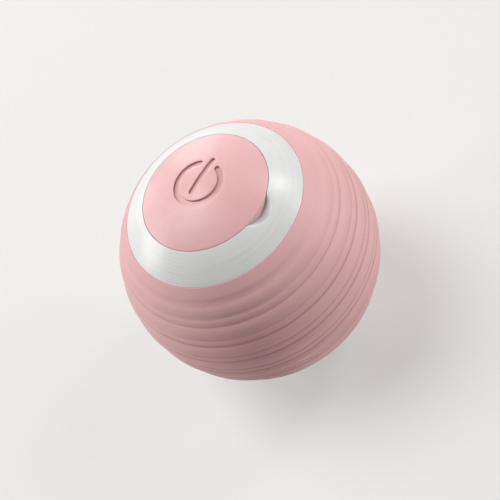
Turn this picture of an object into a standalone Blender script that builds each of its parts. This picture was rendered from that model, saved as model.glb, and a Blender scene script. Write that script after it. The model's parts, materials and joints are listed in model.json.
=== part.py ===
"""Self rolling cat ball: a 43 mm ball with a silicone sleeve and a push button cap.

The ball stands with its roll axis on +Z. The push button cap is at the top, the
button symbol reads upright towards +Y, and the finger scoop at the cap's edge is
on the +X side. Heights below are measured from the ball's centre, and an empty
there carries every piece. The origin is the middle of the flat that it stands on.
"""

import math

import bmesh
import bpy
from mathutils import Matrix, Vector

MM = 0.001

# Ball and sleeve
BALL_RADIUS = 21.5 * MM
SLEEVE_PROUD = 0.1 * MM
SLEEVE_WALL = 1.5 * MM
SLEEVE_EDGE_ANGLE = math.radians(42.5)
COLLAR_END_ANGLE = math.radians(49.2)
WIDE_BAND_COUNT = 8
WIDE_BAND_SHARE = 0.66
WIDE_BAND_RISE = 0.22 * MM
NARROW_BAND_RISE = 0.09 * MM
REST_FLAT_RADIUS = 5.0 * MM

# Gaps and small shared sizes
SEAT_GAP = 0.3 * MM
SLIP_GAP = 0.25 * MM
OVERRUN = 1.0 * MM
EMBED = 0.3 * MM
FACE_ROUND = 0.2 * MM

# Shell halves
SHELL_WALL = 1.5 * MM
CAP_WELL_RADIUS = 10.35 * MM
WELL_FLOOR_WALL = 1.1 * MM
LOWER_FLOOR_WALL = 1.3 * MM
LIP_WALL = 0.6 * MM
LIP_HEIGHT = 1.2 * MM
SPRING_POCKET_RADIUS = 3.3 * MM
SPRING_POCKET_WALL = 0.9 * MM
SPRING_POCKET_DEPTH = 2.1 * MM

# Finger scoop in the ring beside the cap
SCOOP_RADIUS = 7.0 * MM
SCOOP_LIFT = 6.03 * MM
SCOOP_INSET = 1.84 * MM

# Power cap and its carrier
CAP_WALL = 1.5 * MM
CAP_SKIRT_WALL = 1.2 * MM
CAP_SKIRT_HEIGHT = 1.25 * MM
CAP_SOCKET_WALL = 1.0 * MM
SYMBOL_DEPTH = 0.85 * MM
SYMBOL_RING_RADIUS = 3.55 * MM
SYMBOL_RING_WIDTH = 0.95 * MM
SYMBOL_GAP_ANGLE = math.radians(21.5)
SYMBOL_BAR_WIDTH = 0.85 * MM
SYMBOL_BAR_TOP = 4.25 * MM
SYMBOL_BAR_BOTTOM = -1.75 * MM
CARRIER_SIDE_GAP = 0.45 * MM
CARRIER_WALL = 0.9 * MM
CARRIER_BOSS_RADIUS = 2.0 * MM
CARRIER_BOSS_GAP = 0.45 * MM
STEM_RADIUS = 1.5 * MM
PRESS_TRAVEL = 0.8 * MM

# Return spring
SPRING_SIDE_GAP = 0.35 * MM
SPRING_WIRE_RADIUS = 0.2 * MM
SPRING_TURNS = 2.5
SPRING_POINTS_A_TURN = 10

# Main board and what stands on it
BOARD_DROP = 7.0 * MM
BOARD_WALL = 1.0 * MM
SWITCH_SIDE = 6.0 * MM
SWITCH_HEIGHT = 3.2 * MM
SWITCH_FLOOR = 0.4 * MM
PLUNGER_RADIUS = 1.25 * MM
PLUNGER_RISE = 1.2 * MM
PLUNGER_LENGTH = 2.9 * MM
USB_WIDTH = 8.94 * MM
USB_DEPTH = 3.16 * MM
USB_WALL = 0.3 * MM
USB_MOUTH_DEPTH = 6.2 * MM
USB_TONGUE_WIDTH = 6.6 * MM
USB_TONGUE_DEPTH = 0.7 * MM
USB_POCKET_GAP = 0.52 * MM
LED_SIDE = 1.6 * MM
LED_HEIGHT = 0.7 * MM
LIGHT_POCKET_GAP = 0.9 * MM
LIGHT_ANGLE = math.radians(40.0)
LIGHT_PIPE_RADIUS = 1.1 * MM
LIGHT_FLANGE_RADIUS = 1.9 * MM
LIGHT_FLANGE_WALL = 0.6 * MM
CHIP_SIDE = 4.0 * MM
CHIP_HEIGHT = 0.9 * MM
CHIP_INSET = 4.6 * MM
SENSOR_RADIUS = 1.4 * MM
SENSOR_LENGTH = 5.0 * MM
SENSOR_INSET = 2.3 * MM
SENSOR_ANGLE = math.radians(60.0)

# Screws
SCREW_RADIUS = 0.8 * MM
SCREW_HEAD_RADIUS = 1.5 * MM
SCREW_HEAD_HEIGHT = 1.1 * MM
SCREW_LENGTH = 5.0 * MM
SCREW_SLOT_WIDTH = 0.4 * MM
SCREW_SLOT_DEPTH = 0.5 * MM
SMALL_SCREW_RADIUS = 0.6 * MM
SMALL_SCREW_HEAD_RADIUS = 1.2 * MM
SMALL_SCREW_HEAD_HEIGHT = 0.9 * MM
BOSS_RADIUS = 1.8 * MM
BOARD_SCREW_INSET = 2.4 * MM
BOARD_SCREW_ANGLES = (math.radians(90.0), math.radians(210.0), math.radians(330.0))
POST_RADIUS = 1.7 * MM
POST_INSET = 2.3 * MM
POST_ANGLES = (math.radians(60.0), math.radians(180.0), math.radians(300.0))

# Middle frame, motor and battery
FRAME_WALL = 1.2 * MM
FRAME_MARGIN = 0.2 * MM
MOTOR_RADIUS = 3.5 * MM
MOTOR_SWITCH_GAP = 0.757 * MM
MOTOR_ANGLE = math.radians(150.0)
MOTOR_CAP_RADIUS = 3.2 * MM
MOTOR_CAP_HEIGHT = 0.8 * MM
MOTOR_NOSE_RADIUS = 1.8 * MM
MOTOR_NOSE_HEIGHT = 0.7 * MM
MOTOR_SHAFT_RADIUS = 0.5 * MM
CRADLE_WALL = 0.8 * MM
CRADLE_HEIGHT = 3.0 * MM
RIB_WIDTH = 3.0 * MM
BATTERY_LENGTH = 18.0 * MM
BATTERY_WIDTH = 10.0 * MM
BATTERY_HEIGHT = 3.6 * MM
BATTERY_ROUND = 0.8 * MM
LEAD_RADIUS = 0.4 * MM
LEAD_SPACING = 1.6 * MM
LEAD_BEND_SHARE = 2.5
LEAD_HEADROOM = 0.5 * MM

# Gear train
GEAR_SIDE_GAP = 0.31 * MM
PINION_TEETH = 9
WHEEL_TEETH = 27
TOOTH_TIP_SHARE = 0.85
TOOTH_ROOT_SHARE = 1.3
TOOTH_THICKNESS_SHARE = 0.72
FLANK_SLOPE_SHARE = 0.36
CENTRE_SPREAD = 0.05 * MM
WHEEL_WALL = 1.2 * MM
OUTPUT_WHEEL_WALL = 1.4 * MM
AXLE_RADIUS = 0.5 * MM

# Gearbox cover
COVER_HEAD_GAP = 0.4 * MM
COVER_WALL = 0.7 * MM
COVER_FLOOR_WALL = 1.0 * MM
COVER_DEPTH = 4.4 * MM
COVER_BOSS_RADIUS = 2.0 * MM
COVER_BOSS_INSET = 1.1 * MM
COVER_SCREW_ANGLES = (math.radians(20.0), math.radians(110.0), math.radians(290.0))
COUNTERBORE_DEPTH = 1.4 * MM

# Output shaft, bushes, hub and swing weight
SHAFT_RADIUS = 1.0 * MM
BUSH_RADIUS = 2.1 * MM
BUSH_FLANGE_RADIUS = 2.9 * MM
BUSH_FLANGE_WALL = 0.4 * MM
HUB_RADIUS = 3.0 * MM
HUB_FLANGE_MARGIN = 1.8 * MM
HUB_FLANGE_WALL = 0.8 * MM
WEIGHT_CLEARANCE = 0.8 * MM
WEIGHT_RIM_HEIGHT = 1.0 * MM
WEIGHT_FLOOR_GAP = 0.4 * MM
WEIGHT_SCREW_MARGIN = 2.2 * MM
WEIGHT_SCREW_ANGLES = (math.radians(45.0), math.radians(135.0))
WEIGHT_SEAT_SHARE = 0.49

# Lower cap
SNAP_STEM_RADIUS = 1.9 * MM
SNAP_HEAD_RADIUS = 2.6 * MM
SNAP_HEAD_HEIGHT = 0.9 * MM
SNAP_HEAD_LEAD = 0.3 * MM

# Facet counts
ROUND_STEPS = 32
FRAME_STEPS = 72
SMALL_STEPS = 16
SCREW_STEPS = 10

# Sizes worked out from the ones above
FACE_RADIUS = BALL_RADIUS - SLEEVE_PROUD
SLEEVE_INNER_RADIUS = BALL_RADIUS - SLEEVE_WALL
CORE_RADIUS = SLEEVE_INNER_RADIUS - SEAT_GAP
CAVITY_RADIUS = CORE_RADIUS - SHELL_WALL
CENTRE_HEIGHT = math.sqrt(FACE_RADIUS**2 - REST_FLAT_RADIUS**2)
CAP_RADIUS = CAP_WELL_RADIUS - SLIP_GAP
SCOOP_ANGLE = math.asin((CAP_WELL_RADIUS - SLIP_GAP / 2) / FACE_RADIUS)
CARRIER_RADIUS = CAP_WELL_RADIUS - CARRIER_SIDE_GAP
SPRING_RADIUS = SPRING_POCKET_RADIUS - SPRING_WIRE_RADIUS - SPRING_SIDE_GAP
POCKET_OUTER_RADIUS = SPRING_POCKET_RADIUS + SPRING_POCKET_WALL
USB_CENTRE_Y = -(POCKET_OUTER_RADIUS + USB_POCKET_GAP + USB_DEPTH / 2)
LIGHT_CIRCLE_RADIUS = POCKET_OUTER_RADIUS + LIGHT_POCKET_GAP + LIGHT_FLANGE_RADIUS
CAP_SKIRT_BOTTOM = math.sqrt(FACE_RADIUS**2 - CAP_RADIUS**2) - CAP_SKIRT_HEIGHT
SYMBOL_FLOOR = FACE_RADIUS - SYMBOL_DEPTH
CARRIER_TOP = CAP_SKIRT_BOTTOM - SEAT_GAP
CARRIER_UNDER = CARRIER_TOP - CARRIER_WALL
WELL_FLOOR_TOP = CARRIER_UNDER - PRESS_TRAVEL - SEAT_GAP
WELL_FLOOR_UNDER = WELL_FLOOR_TOP - WELL_FLOOR_WALL
SPRING_POCKET_FLOOR = WELL_FLOOR_TOP - SPRING_POCKET_DEPTH
LOWER_FLOOR_FACE = -CARRIER_TOP
LOWER_FLOOR_INNER = LOWER_FLOOR_FACE + LOWER_FLOOR_WALL
SNAP_HEAD_TOP = LOWER_FLOOR_INNER + SEAT_GAP + SNAP_HEAD_HEIGHT
WEIGHT_BOTTOM = SNAP_HEAD_TOP + WEIGHT_FLOOR_GAP
BOARD_TOP = WELL_FLOOR_UNDER - BOARD_DROP
BOARD_UNDER = BOARD_TOP - BOARD_WALL
BOARD_SEAT = BOARD_TOP + SEAT_GAP
SWITCH_TOP = BOARD_SEAT + SWITCH_HEIGHT
PLUNGER_TOP = SWITCH_TOP + PLUNGER_RISE
STEM_BOTTOM = PLUNGER_TOP + SEAT_GAP
BATTERY_CEILING = BOARD_UNDER - SEAT_GAP - SCREW_HEAD_HEIGHT - SEAT_GAP
FRAME_TOP = min(FRAME_WALL / 2, BATTERY_CEILING - BATTERY_HEIGHT - SEAT_GAP)
FRAME_UNDER = FRAME_TOP - FRAME_WALL
FRAME_SEAT = FRAME_TOP + SEAT_GAP
BATTERY_TOP = FRAME_SEAT + BATTERY_HEIGHT
LEAD_BEND = LEAD_BEND_SHARE * LEAD_RADIUS
MOTOR_CAP_TOP = WELL_FLOOR_UNDER - LEAD_HEADROOM - LEAD_RADIUS - LEAD_BEND - SEAT_GAP
MOTOR_TOP = MOTOR_CAP_TOP - MOTOR_CAP_HEIGHT - SEAT_GAP
POST_CIRCLE = CAVITY_RADIUS - POST_INSET
BOARD_RADIUS = POST_CIRCLE - POST_RADIUS - SEAT_GAP
BOARD_SCREW_CIRCLE = BOARD_RADIUS - BOARD_SCREW_INSET
SENSOR_CIRCLE_RADIUS = BOARD_RADIUS - SENSOR_INSET
CHIP_X = BOARD_RADIUS - CHIP_INSET
MOTOR_CIRCLE_RADIUS = SWITCH_SIDE / math.sqrt(2) + MOTOR_SWITCH_GAP + MOTOR_RADIUS
BATTERY_NEAR_X = BUSH_FLANGE_RADIUS + SEAT_GAP
COVER_RADIUS = POST_CIRCLE - SCREW_HEAD_RADIUS - COVER_HEAD_GAP
COVER_SCREW_CIRCLE = COVER_RADIUS - COVER_BOSS_INSET - COVER_BOSS_RADIUS
FRAME_RADIUS = COVER_RADIUS + FRAME_MARGIN
WEIGHT_SCREW_CIRCLE = HUB_RADIUS + WEIGHT_SCREW_MARGIN
HUB_FLANGE_RADIUS = WEIGHT_SCREW_CIRCLE + HUB_FLANGE_MARGIN
SPLIT_HALF_GAP = SEAT_GAP / 2
COVER_RIM = FRAME_UNDER - SEAT_GAP
COVER_FLOOR_INNER = COVER_RIM - COVER_DEPTH
COVER_UNDER = COVER_FLOOR_INNER - COVER_FLOOR_WALL
WHEEL_TOP = COVER_RIM - SEAT_GAP
WHEEL_UNDER = WHEEL_TOP - WHEEL_WALL
OUTPUT_WHEEL_TOP = WHEEL_UNDER - SEAT_GAP
OUTPUT_WHEEL_UNDER = OUTPUT_WHEEL_TOP - OUTPUT_WHEEL_WALL
GEAR_ROOM = COVER_RADIUS - COVER_WALL - GEAR_SIDE_GAP - CENTRE_SPREAD
GEAR_MODULE = GEAR_ROOM / (PINION_TEETH / 2 + WHEEL_TEETH + TOOTH_TIP_SHARE)
PINION_PITCH_RADIUS = GEAR_MODULE * PINION_TEETH / 2
WHEEL_PITCH_RADIUS = GEAR_MODULE * WHEEL_TEETH / 2
MESH_DISTANCE = PINION_PITCH_RADIUS + WHEEL_PITCH_RADIUS + CENTRE_SPREAD
IDLER_SWING_ANGLE = math.acos(MOTOR_CIRCLE_RADIUS / (2 * MESH_DISTANCE))
IDLER_ANGLE = MOTOR_ANGLE + IDLER_SWING_ANGLE


def polar(radius, angle, height=0.0):
    """Return the point at a radius and an angle about the roll axis."""
    return Vector((radius * math.cos(angle), radius * math.sin(angle), height))


def sphere_height(radius, distance):
    """Return how high a sphere stands at a distance from the roll axis."""
    return math.sqrt(radius**2 - distance**2)


def sphere_arc(radius, start_angle, end_angle, steps):
    """Return turned profile points along a sphere, angles from the top pole."""
    points = []
    for step in range(steps + 1):
        angle = start_angle + (end_angle - start_angle) * step / steps
        points.append((radius * math.sin(angle), radius * math.cos(angle)))
    return points


def pole_angle(radius, distance):
    """Return the angle from the pole of a sphere's point at a distance from the axis."""
    return math.asin(distance / radius)


MOTOR_PLACE = polar(MOTOR_CIRCLE_RADIUS, MOTOR_ANGLE)
IDLER_PLACE = polar(MESH_DISTANCE, IDLER_ANGLE)
LIGHT_PLACE = polar(LIGHT_CIRCLE_RADIUS, LIGHT_ANGLE)


def new_collection(name):
    """Make a collection in the scene."""
    collection = bpy.data.collections.new(name)
    bpy.context.scene.collection.children.link(collection)
    return collection


def clear_scene():
    """Remove what the startup file holds."""
    for item in list(bpy.data.objects):
        bpy.data.objects.remove(item, do_unlink=True)


def make_material(name, colour, roughness, metallic=0.0):
    """Make a plain surface of one colour."""
    material = bpy.data.materials.new(name)
    material.use_nodes = True
    shader = material.node_tree.nodes["Principled BSDF"]
    shader.inputs["Base Color"].default_value = (*colour, 1.0)
    shader.inputs["Roughness"].default_value = roughness
    shader.inputs["Metallic"].default_value = metallic
    return material


class Workshop:
    """Holds the collections, the ball's centre and the materials."""

    def __init__(self):
        self.parts = new_collection("self_rolling_cat_ball")
        self.cutters = new_collection("cutters")
        self.centre = bpy.data.objects.new("ball_centre", None)
        self.centre.location = (0.0, 0.0, CENTRE_HEIGHT)
        self.parts.objects.link(self.centre)
        self.pink = make_material("pink_silicone", (0.80, 0.49, 0.50), 0.55)
        self.cap_pink = make_material("pink_cap", (0.84, 0.48, 0.49), 0.35)
        self.white = make_material("white_plastic", (0.86, 0.86, 0.85), 0.30)
        self.natural = make_material("natural_plastic", (0.80, 0.78, 0.72), 0.45)
        self.steel = make_material("steel", (0.62, 0.62, 0.63), 0.30, 1.0)
        self.brass = make_material("brass", (0.72, 0.55, 0.25), 0.35, 1.0)
        self.green = make_material("green_board", (0.02, 0.20, 0.09), 0.45)
        self.black = make_material("black_plastic", (0.02, 0.02, 0.02), 0.45)
        self.silver = make_material("battery_wrap", (0.55, 0.57, 0.60), 0.35, 0.6)
        self.clear = make_material("clear_plastic", (0.90, 0.93, 0.95), 0.10)
        self.red = make_material("red_lead", (0.55, 0.02, 0.02), 0.45)

    def add(self, name, mesh, place=(0.0, 0.0, 0.0), material=None):
        """Add a piece, or a cutter when it has no material."""
        item = bpy.data.objects.new(name, mesh)
        item.parent = self.centre
        item.location = place
        if material is None:
            self.cutters.objects.link(item)
            item.hide_render = True
            item.display_type = "WIRE"
        else:
            self.parts.objects.link(item)
            mesh.materials.append(material)
            shade_round(mesh)
        return item

    def turned(self, name, profile, place=(0.0, 0.0, 0.0), material=None, steps=ROUND_STEPS, ring=False):
        """Turn a profile of (radius, height) points about the piece's own Z axis."""
        mesh = bpy.data.meshes.new(name)
        edges = [(index, index + 1) for index in range(len(profile) - 1)]
        if ring:
            edges.append((len(profile) - 1, 0))
        mesh.from_pydata([(radius, 0.0, height) for radius, height in profile], edges, [])
        item = self.add(name, mesh, place, material)
        screw = item.modifiers.new("turn", "SCREW")
        screw.axis = "Z"
        screw.steps = steps
        screw.render_steps = steps
        screw.use_merge_vertices = True
        screw.merge_threshold = 0.000001
        screw.use_smooth_shade = True
        return item

    def rod(self, name, radius, bottom, top, place=(0.0, 0.0, 0.0), material=None, steps=SMALL_STEPS):
        """Make an upright round bar between two heights."""
        mesh = bpy.data.meshes.new(name)
        shape = bmesh.new()
        middle = Matrix.Translation((0.0, 0.0, (bottom + top) / 2))
        bmesh.ops.create_cone(
            shape,
            cap_ends=True,
            segments=steps,
            radius1=radius,
            radius2=radius,
            depth=top - bottom,
            matrix=middle,
        )
        shape.to_mesh(mesh)
        shape.free()
        return self.add(name, mesh, place, material)

    def block(self, name, size, middle, material=None):
        """Make a box from its size and its middle."""
        mesh = bpy.data.meshes.new(name)
        shape = bmesh.new()
        placing = Matrix.Translation(middle) @ Matrix.Diagonal((*size, 1.0))
        bmesh.ops.create_cube(shape, size=1.0, matrix=placing)
        shape.to_mesh(mesh)
        shape.free()
        return self.add(name, mesh, material=material)

    def ball(self, name, radius, middle):
        """Make a round cutter."""
        mesh = bpy.data.meshes.new(name)
        shape = bmesh.new()
        bmesh.ops.create_uvsphere(shape, u_segments=ROUND_STEPS, v_segments=SMALL_STEPS, radius=radius)
        shape.to_mesh(mesh)
        shape.free()
        return self.add(name, mesh, middle)

    def flat(self, name, outlines, bottom, top, place=(0.0, 0.0, 0.0), material=None):
        """Make a flat plate from outlines: the first is its edge, the others are holes."""
        curve = bpy.data.curves.new(name, "CURVE")
        curve.dimensions = "2D"
        curve.fill_mode = "BOTH"
        curve.extrude = (top - bottom) / 2
        for outline in outlines:
            spline = curve.splines.new("POLY")
            spline.points.add(len(outline) - 1)
            spline.use_cyclic_u = True
            for point, (x, y) in zip(spline.points, outline):
                point.co = (x, y, 0.0, 1.0)
        guide = bpy.data.objects.new(name + "_outline", curve)
        self.cutters.objects.link(guide)
        mesh = mesh_of_curve(guide, name)
        mesh.transform(Matrix.Translation((0.0, 0.0, (bottom + top) / 2)))
        return self.add(name, mesh, place, material)

    def wire(self, name, route, radius, material):
        """Make a round wire through points in the ball's own heights."""
        curve = bpy.data.curves.new(name, "CURVE")
        curve.dimensions = "3D"
        curve.bevel_depth = radius
        curve.bevel_resolution = 1
        curve.use_fill_caps = True
        spline = curve.splines.new("POLY")
        spline.points.add(len(route) - 1)
        for point, place in zip(spline.points, route):
            point.co = (*place, 1.0)
        curve.materials.append(material)
        item = bpy.data.objects.new(name, curve)
        item.parent = self.centre
        self.parts.objects.link(item)
        return item


def mesh_of_curve(item, name):
    """Turn a curve object into a closed mesh and remove the curve."""
    bpy.context.view_layer.update()
    evaluated = item.evaluated_get(bpy.context.evaluated_depsgraph_get())
    mesh = bpy.data.meshes.new_from_object(evaluated)
    mesh.name = name
    shape = bmesh.new()
    shape.from_mesh(mesh)
    bmesh.ops.remove_doubles(shape, verts=shape.verts, dist=0.000001)
    shape.to_mesh(mesh)
    shape.free()
    mesh.materials.clear()
    bpy.data.objects.remove(item, do_unlink=True)
    return mesh


def shade_round(mesh):
    """Shade a round piece smooth and keep its corners."""
    mesh.shade_smooth()
    mesh.set_sharp_from_angle(angle=math.radians(35.0))


def combine(item, other, operation):
    """Cut a piece with another solid, or join that solid to it."""
    step = item.modifiers.new(other.name, "BOOLEAN")
    step.operation = operation
    step.solver = "EXACT"
    step.object = other


def cut(item, other):
    """Take a solid out of a piece."""
    combine(item, other, "DIFFERENCE")


def join(item, other):
    """Add a solid to a piece."""
    combine(item, other, "UNION")


def circle_points(radius, x=0.0, y=0.0, steps=SMALL_STEPS):
    """Return the points of a circle."""
    points = []
    for step in range(steps):
        angle = 2 * math.pi * step / steps
        points.append((x + radius * math.cos(angle), y + radius * math.sin(angle)))
    return points


def arc_points(radius, x, y, start, end, steps):
    """Return points along an arc."""
    points = []
    for step in range(steps + 1):
        angle = start + (end - start) * step / steps
        points.append((x + radius * math.cos(angle), y + radius * math.sin(angle)))
    return points


def slot_points(width, depth, x=0.0, y=0.0, steps=6):
    """Return a slot with round ends, its width along X."""
    radius = depth / 2
    reach = width / 2 - radius
    points = arc_points(radius, x + reach, y, -math.pi / 2, math.pi / 2, steps)
    points += arc_points(radius, x - reach, y, math.pi / 2, 3 * math.pi / 2, steps)
    return points


def gear_points(teeth, phase):
    """Return the outline of a spur gear with straight flanks."""
    pitch_radius = GEAR_MODULE * teeth / 2
    tip_radius = pitch_radius + TOOTH_TIP_SHARE * GEAR_MODULE
    root_radius = pitch_radius - TOOTH_ROOT_SHARE * GEAR_MODULE
    half_pitch_width = math.pi * GEAR_MODULE * TOOTH_THICKNESS_SHARE / 4
    half_tip_width = half_pitch_width - FLANK_SLOPE_SHARE * TOOTH_TIP_SHARE * GEAR_MODULE
    half_root_width = half_pitch_width + FLANK_SLOPE_SHARE * TOOTH_ROOT_SHARE * GEAR_MODULE
    points = []
    for tooth in range(teeth):
        middle = phase + 2 * math.pi * tooth / teeth
        for radius, half_width in (
            (root_radius, -half_root_width),
            (tip_radius, -half_tip_width),
            (tip_radius, half_tip_width),
            (root_radius, half_root_width),
        ):
            angle = middle + half_width / radius
            points.append((radius * math.cos(angle), radius * math.sin(angle)))
    return points


def band_profile():
    """Return the sleeve's outer profile: a collar, then wide and narrow rounded bands."""
    valley_radius = BALL_RADIUS - WIDE_BAND_RISE
    edge_angle = SLEEVE_EDGE_ANGLE + SEAT_GAP / BALL_RADIUS
    span = math.pi - 2 * COLLAR_END_ANGLE
    pair_angle = span / (WIDE_BAND_COUNT - 1 + WIDE_BAND_SHARE)
    wide_angle = pair_angle * WIDE_BAND_SHARE
    narrow_angle = pair_angle - wide_angle
    profile = sphere_arc(BALL_RADIUS, edge_angle, COLLAR_END_ANGLE - narrow_angle / 2, 3)
    angle = COLLAR_END_ANGLE
    for band in range(WIDE_BAND_COUNT):
        profile += scallop(valley_radius, WIDE_BAND_RISE, angle, wide_angle, 4)
        angle += wide_angle
        if band < WIDE_BAND_COUNT - 1:
            profile += scallop(valley_radius, NARROW_BAND_RISE, angle, narrow_angle, 3)[1:-1]
            angle += narrow_angle
    far_start = math.pi - COLLAR_END_ANGLE + narrow_angle / 2
    profile += sphere_arc(BALL_RADIUS, far_start, math.pi - edge_angle, 3)
    return profile


def scallop(base_radius, rise, start_angle, width_angle, points_across):
    """Return the points across one rounded band, valley to valley."""
    points = []
    for step in range(points_across):
        share = step / (points_across - 1)
        angle = start_angle + width_angle * share
        radius = base_radius + rise * (1 - (2 * share - 1) ** 2)
        points.append((radius * math.sin(angle), radius * math.cos(angle)))
    return points


def make_sleeve(shop):
    """Make the ribbed silicone sleeve."""
    edge_angle = SLEEVE_EDGE_ANGLE + SEAT_GAP / BALL_RADIUS
    inner = sphere_arc(SLEEVE_INNER_RADIUS, math.pi - edge_angle, edge_angle, 8)
    shop.turned("silicone_sleeve", band_profile() + inner, material=shop.pink, ring=True)


def ring_face(well_radius):
    """Return the bare white ring's profile, from the cap's well to the sleeve's edge."""
    start = pole_angle(FACE_RADIUS, well_radius + FACE_ROUND)
    rim_height = sphere_height(FACE_RADIUS, well_radius)
    profile = [(well_radius, rim_height - FACE_ROUND)]
    profile += sphere_arc(FACE_RADIUS, start, SLEEVE_EDGE_ANGLE, 3)
    return profile


def make_upper_shell(shop):
    """Make the upper shell with the cap's well, its posts and its bosses."""
    lip_top = LIP_HEIGHT + SEAT_GAP
    lip_side = CAVITY_RADIUS + LIP_WALL + SEAT_GAP
    floor_end = sphere_height(CAVITY_RADIUS, WELL_FLOOR_UNDER)
    stem_hole = STEM_RADIUS + SEAT_GAP
    profile = ring_face(CAP_WELL_RADIUS)
    core_end = math.acos(SPLIT_HALF_GAP / CORE_RADIUS)
    profile += sphere_arc(CORE_RADIUS, SLEEVE_EDGE_ANGLE, core_end, 5)
    profile.append((lip_side, SPLIT_HALF_GAP))
    profile.append((lip_side, lip_top))
    inner_start = math.acos(lip_top / CAVITY_RADIUS)
    profile += sphere_arc(CAVITY_RADIUS, inner_start, pole_angle(CAVITY_RADIUS, floor_end), 6)
    profile.append((POCKET_OUTER_RADIUS, WELL_FLOOR_UNDER))
    profile.append((POCKET_OUTER_RADIUS, SPRING_POCKET_FLOOR - SPRING_POCKET_WALL))
    profile.append((stem_hole, SPRING_POCKET_FLOOR - SPRING_POCKET_WALL))
    profile.append((stem_hole, SPRING_POCKET_FLOOR))
    profile.append((SPRING_POCKET_RADIUS, SPRING_POCKET_FLOOR))
    profile.append((SPRING_POCKET_RADIUS, WELL_FLOOR_TOP))
    profile.append((CAP_WELL_RADIUS, WELL_FLOOR_TOP))
    shell = shop.turned("upper_shell", profile, material=shop.white, ring=True)

    boss_top = sphere_height(CORE_RADIUS, BOARD_SCREW_CIRCLE + BOSS_RADIUS) - FACE_ROUND
    for index, angle in enumerate(BOARD_SCREW_ANGLES):
        place = polar(BOARD_SCREW_CIRCLE, angle)
        join(shell, shop.rod(f"board_boss_{index + 1}", BOSS_RADIUS, BOARD_SEAT, boss_top, place))
    post_top = sphere_height(CORE_RADIUS, POST_CIRCLE + POST_RADIUS) - EMBED
    for index, angle in enumerate(POST_ANGLES):
        place = polar(POST_CIRCLE, angle)
        join(shell, shop.rod(f"frame_post_{index + 1}", POST_RADIUS, FRAME_SEAT, post_top, place))
    pilot_radius = SCREW_RADIUS + SEAT_GAP
    pilot_depth = SCREW_LENGTH + SEAT_GAP
    for index, angle in enumerate(BOARD_SCREW_ANGLES):
        place = polar(BOARD_SCREW_CIRCLE, angle)
        pilot_top = BOARD_UNDER - SEAT_GAP + pilot_depth
        cut(shell, shop.rod(f"board_pilot_{index + 1}", pilot_radius, BOARD_UNDER, pilot_top, place))
    for index, angle in enumerate(POST_ANGLES):
        place = polar(POST_CIRCLE, angle)
        pilot_top = FRAME_UNDER - SEAT_GAP + pilot_depth
        cut(shell, shop.rod(f"post_pilot_{index + 1}", pilot_radius, FRAME_UNDER, pilot_top, place))
    opening = slot_points(USB_WIDTH + 2 * SEAT_GAP, USB_DEPTH + 2 * SEAT_GAP, 0.0, USB_CENTRE_Y)
    floor_cut = (WELL_FLOOR_UNDER - OVERRUN, WELL_FLOOR_TOP + OVERRUN)
    cut(shell, shop.flat("floor_usb_slot", [opening], *floor_cut))
    cut(shell, shop.rod("floor_light_hole", LIGHT_PIPE_RADIUS + SEAT_GAP, *floor_cut, place=LIGHT_PLACE))
    cut(shell, make_scoop(shop))


def make_scoop(shop):
    """Place the round cutter that leaves the finger scoop in the ring."""
    outward = Vector((math.sin(SCOOP_ANGLE), 0.0, math.cos(SCOOP_ANGLE)))
    downhill = Vector((math.cos(SCOOP_ANGLE), 0.0, -math.sin(SCOOP_ANGLE)))
    middle = outward * (BALL_RADIUS + SCOOP_LIFT) - downhill * SCOOP_INSET
    return shop.ball("finger_scoop", SCOOP_RADIUS, middle)


def make_lower_shell(shop):
    """Make the lower shell with its locating lip and the recess for the lower cap."""
    lip_outer = CAVITY_RADIUS + LIP_WALL
    snap_hole = SNAP_STEM_RADIUS + SEAT_GAP
    core_start = math.acos(-SPLIT_HALF_GAP / CORE_RADIUS)
    profile = [(lip_outer, LIP_HEIGHT), (lip_outer, -SPLIT_HALF_GAP)]
    profile += sphere_arc(CORE_RADIUS, core_start, math.pi - SLEEVE_EDGE_ANGLE, 5)
    profile += [(radius, -height) for radius, height in reversed(ring_face(CAP_WELL_RADIUS))]
    profile.append((CAP_WELL_RADIUS, LOWER_FLOOR_FACE))
    profile.append((snap_hole, LOWER_FLOOR_FACE))
    profile.append((snap_hole, LOWER_FLOOR_INNER))
    cavity_start = math.acos(LOWER_FLOOR_INNER / CAVITY_RADIUS)
    profile += sphere_arc(CAVITY_RADIUS, cavity_start, math.pi / 2, 8)
    profile.append((CAVITY_RADIUS, LIP_HEIGHT))
    shop.turned("lower_shell", profile, material=shop.white, ring=True)


def make_lower_cap(shop):
    """Make the lower cap: it snaps into the floor and carries the rest flat."""
    inner_radius = FACE_RADIUS - CAP_WALL
    skirt_top = LOWER_FLOOR_FACE - SEAT_GAP
    skirt_inner = CAP_RADIUS - CAP_SKIRT_WALL
    head_under = SNAP_HEAD_TOP - SNAP_HEAD_HEIGHT
    web_height = -(CENTRE_HEIGHT - CAP_WALL)
    web_reach = sphere_height(inner_radius, web_height)
    profile = [
        (0.0, SNAP_HEAD_TOP),
        (SNAP_HEAD_RADIUS - SNAP_HEAD_LEAD, SNAP_HEAD_TOP),
        (SNAP_HEAD_RADIUS, head_under),
        (SNAP_STEM_RADIUS, head_under),
        (SNAP_STEM_RADIUS, web_height),
    ]
    web_angle = math.pi - pole_angle(inner_radius, web_reach)
    skirt_angle = math.pi - pole_angle(inner_radius, skirt_inner)
    profile += sphere_arc(inner_radius, web_angle, skirt_angle, 3)
    profile.append((skirt_inner, skirt_top))
    profile.append((CAP_RADIUS, skirt_top))
    edge_height = sphere_height(FACE_RADIUS, CAP_RADIUS) - FACE_ROUND
    profile.append((CAP_RADIUS, -edge_height))
    dome_start = math.pi - pole_angle(FACE_RADIUS, CAP_RADIUS - FACE_ROUND)
    dome_end = math.pi - pole_angle(FACE_RADIUS, REST_FLAT_RADIUS)
    profile += sphere_arc(FACE_RADIUS, dome_start, dome_end, 4)
    profile.append((0.0, -CENTRE_HEIGHT))
    shop.turned("lower_cap", profile, material=shop.cap_pink)


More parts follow.
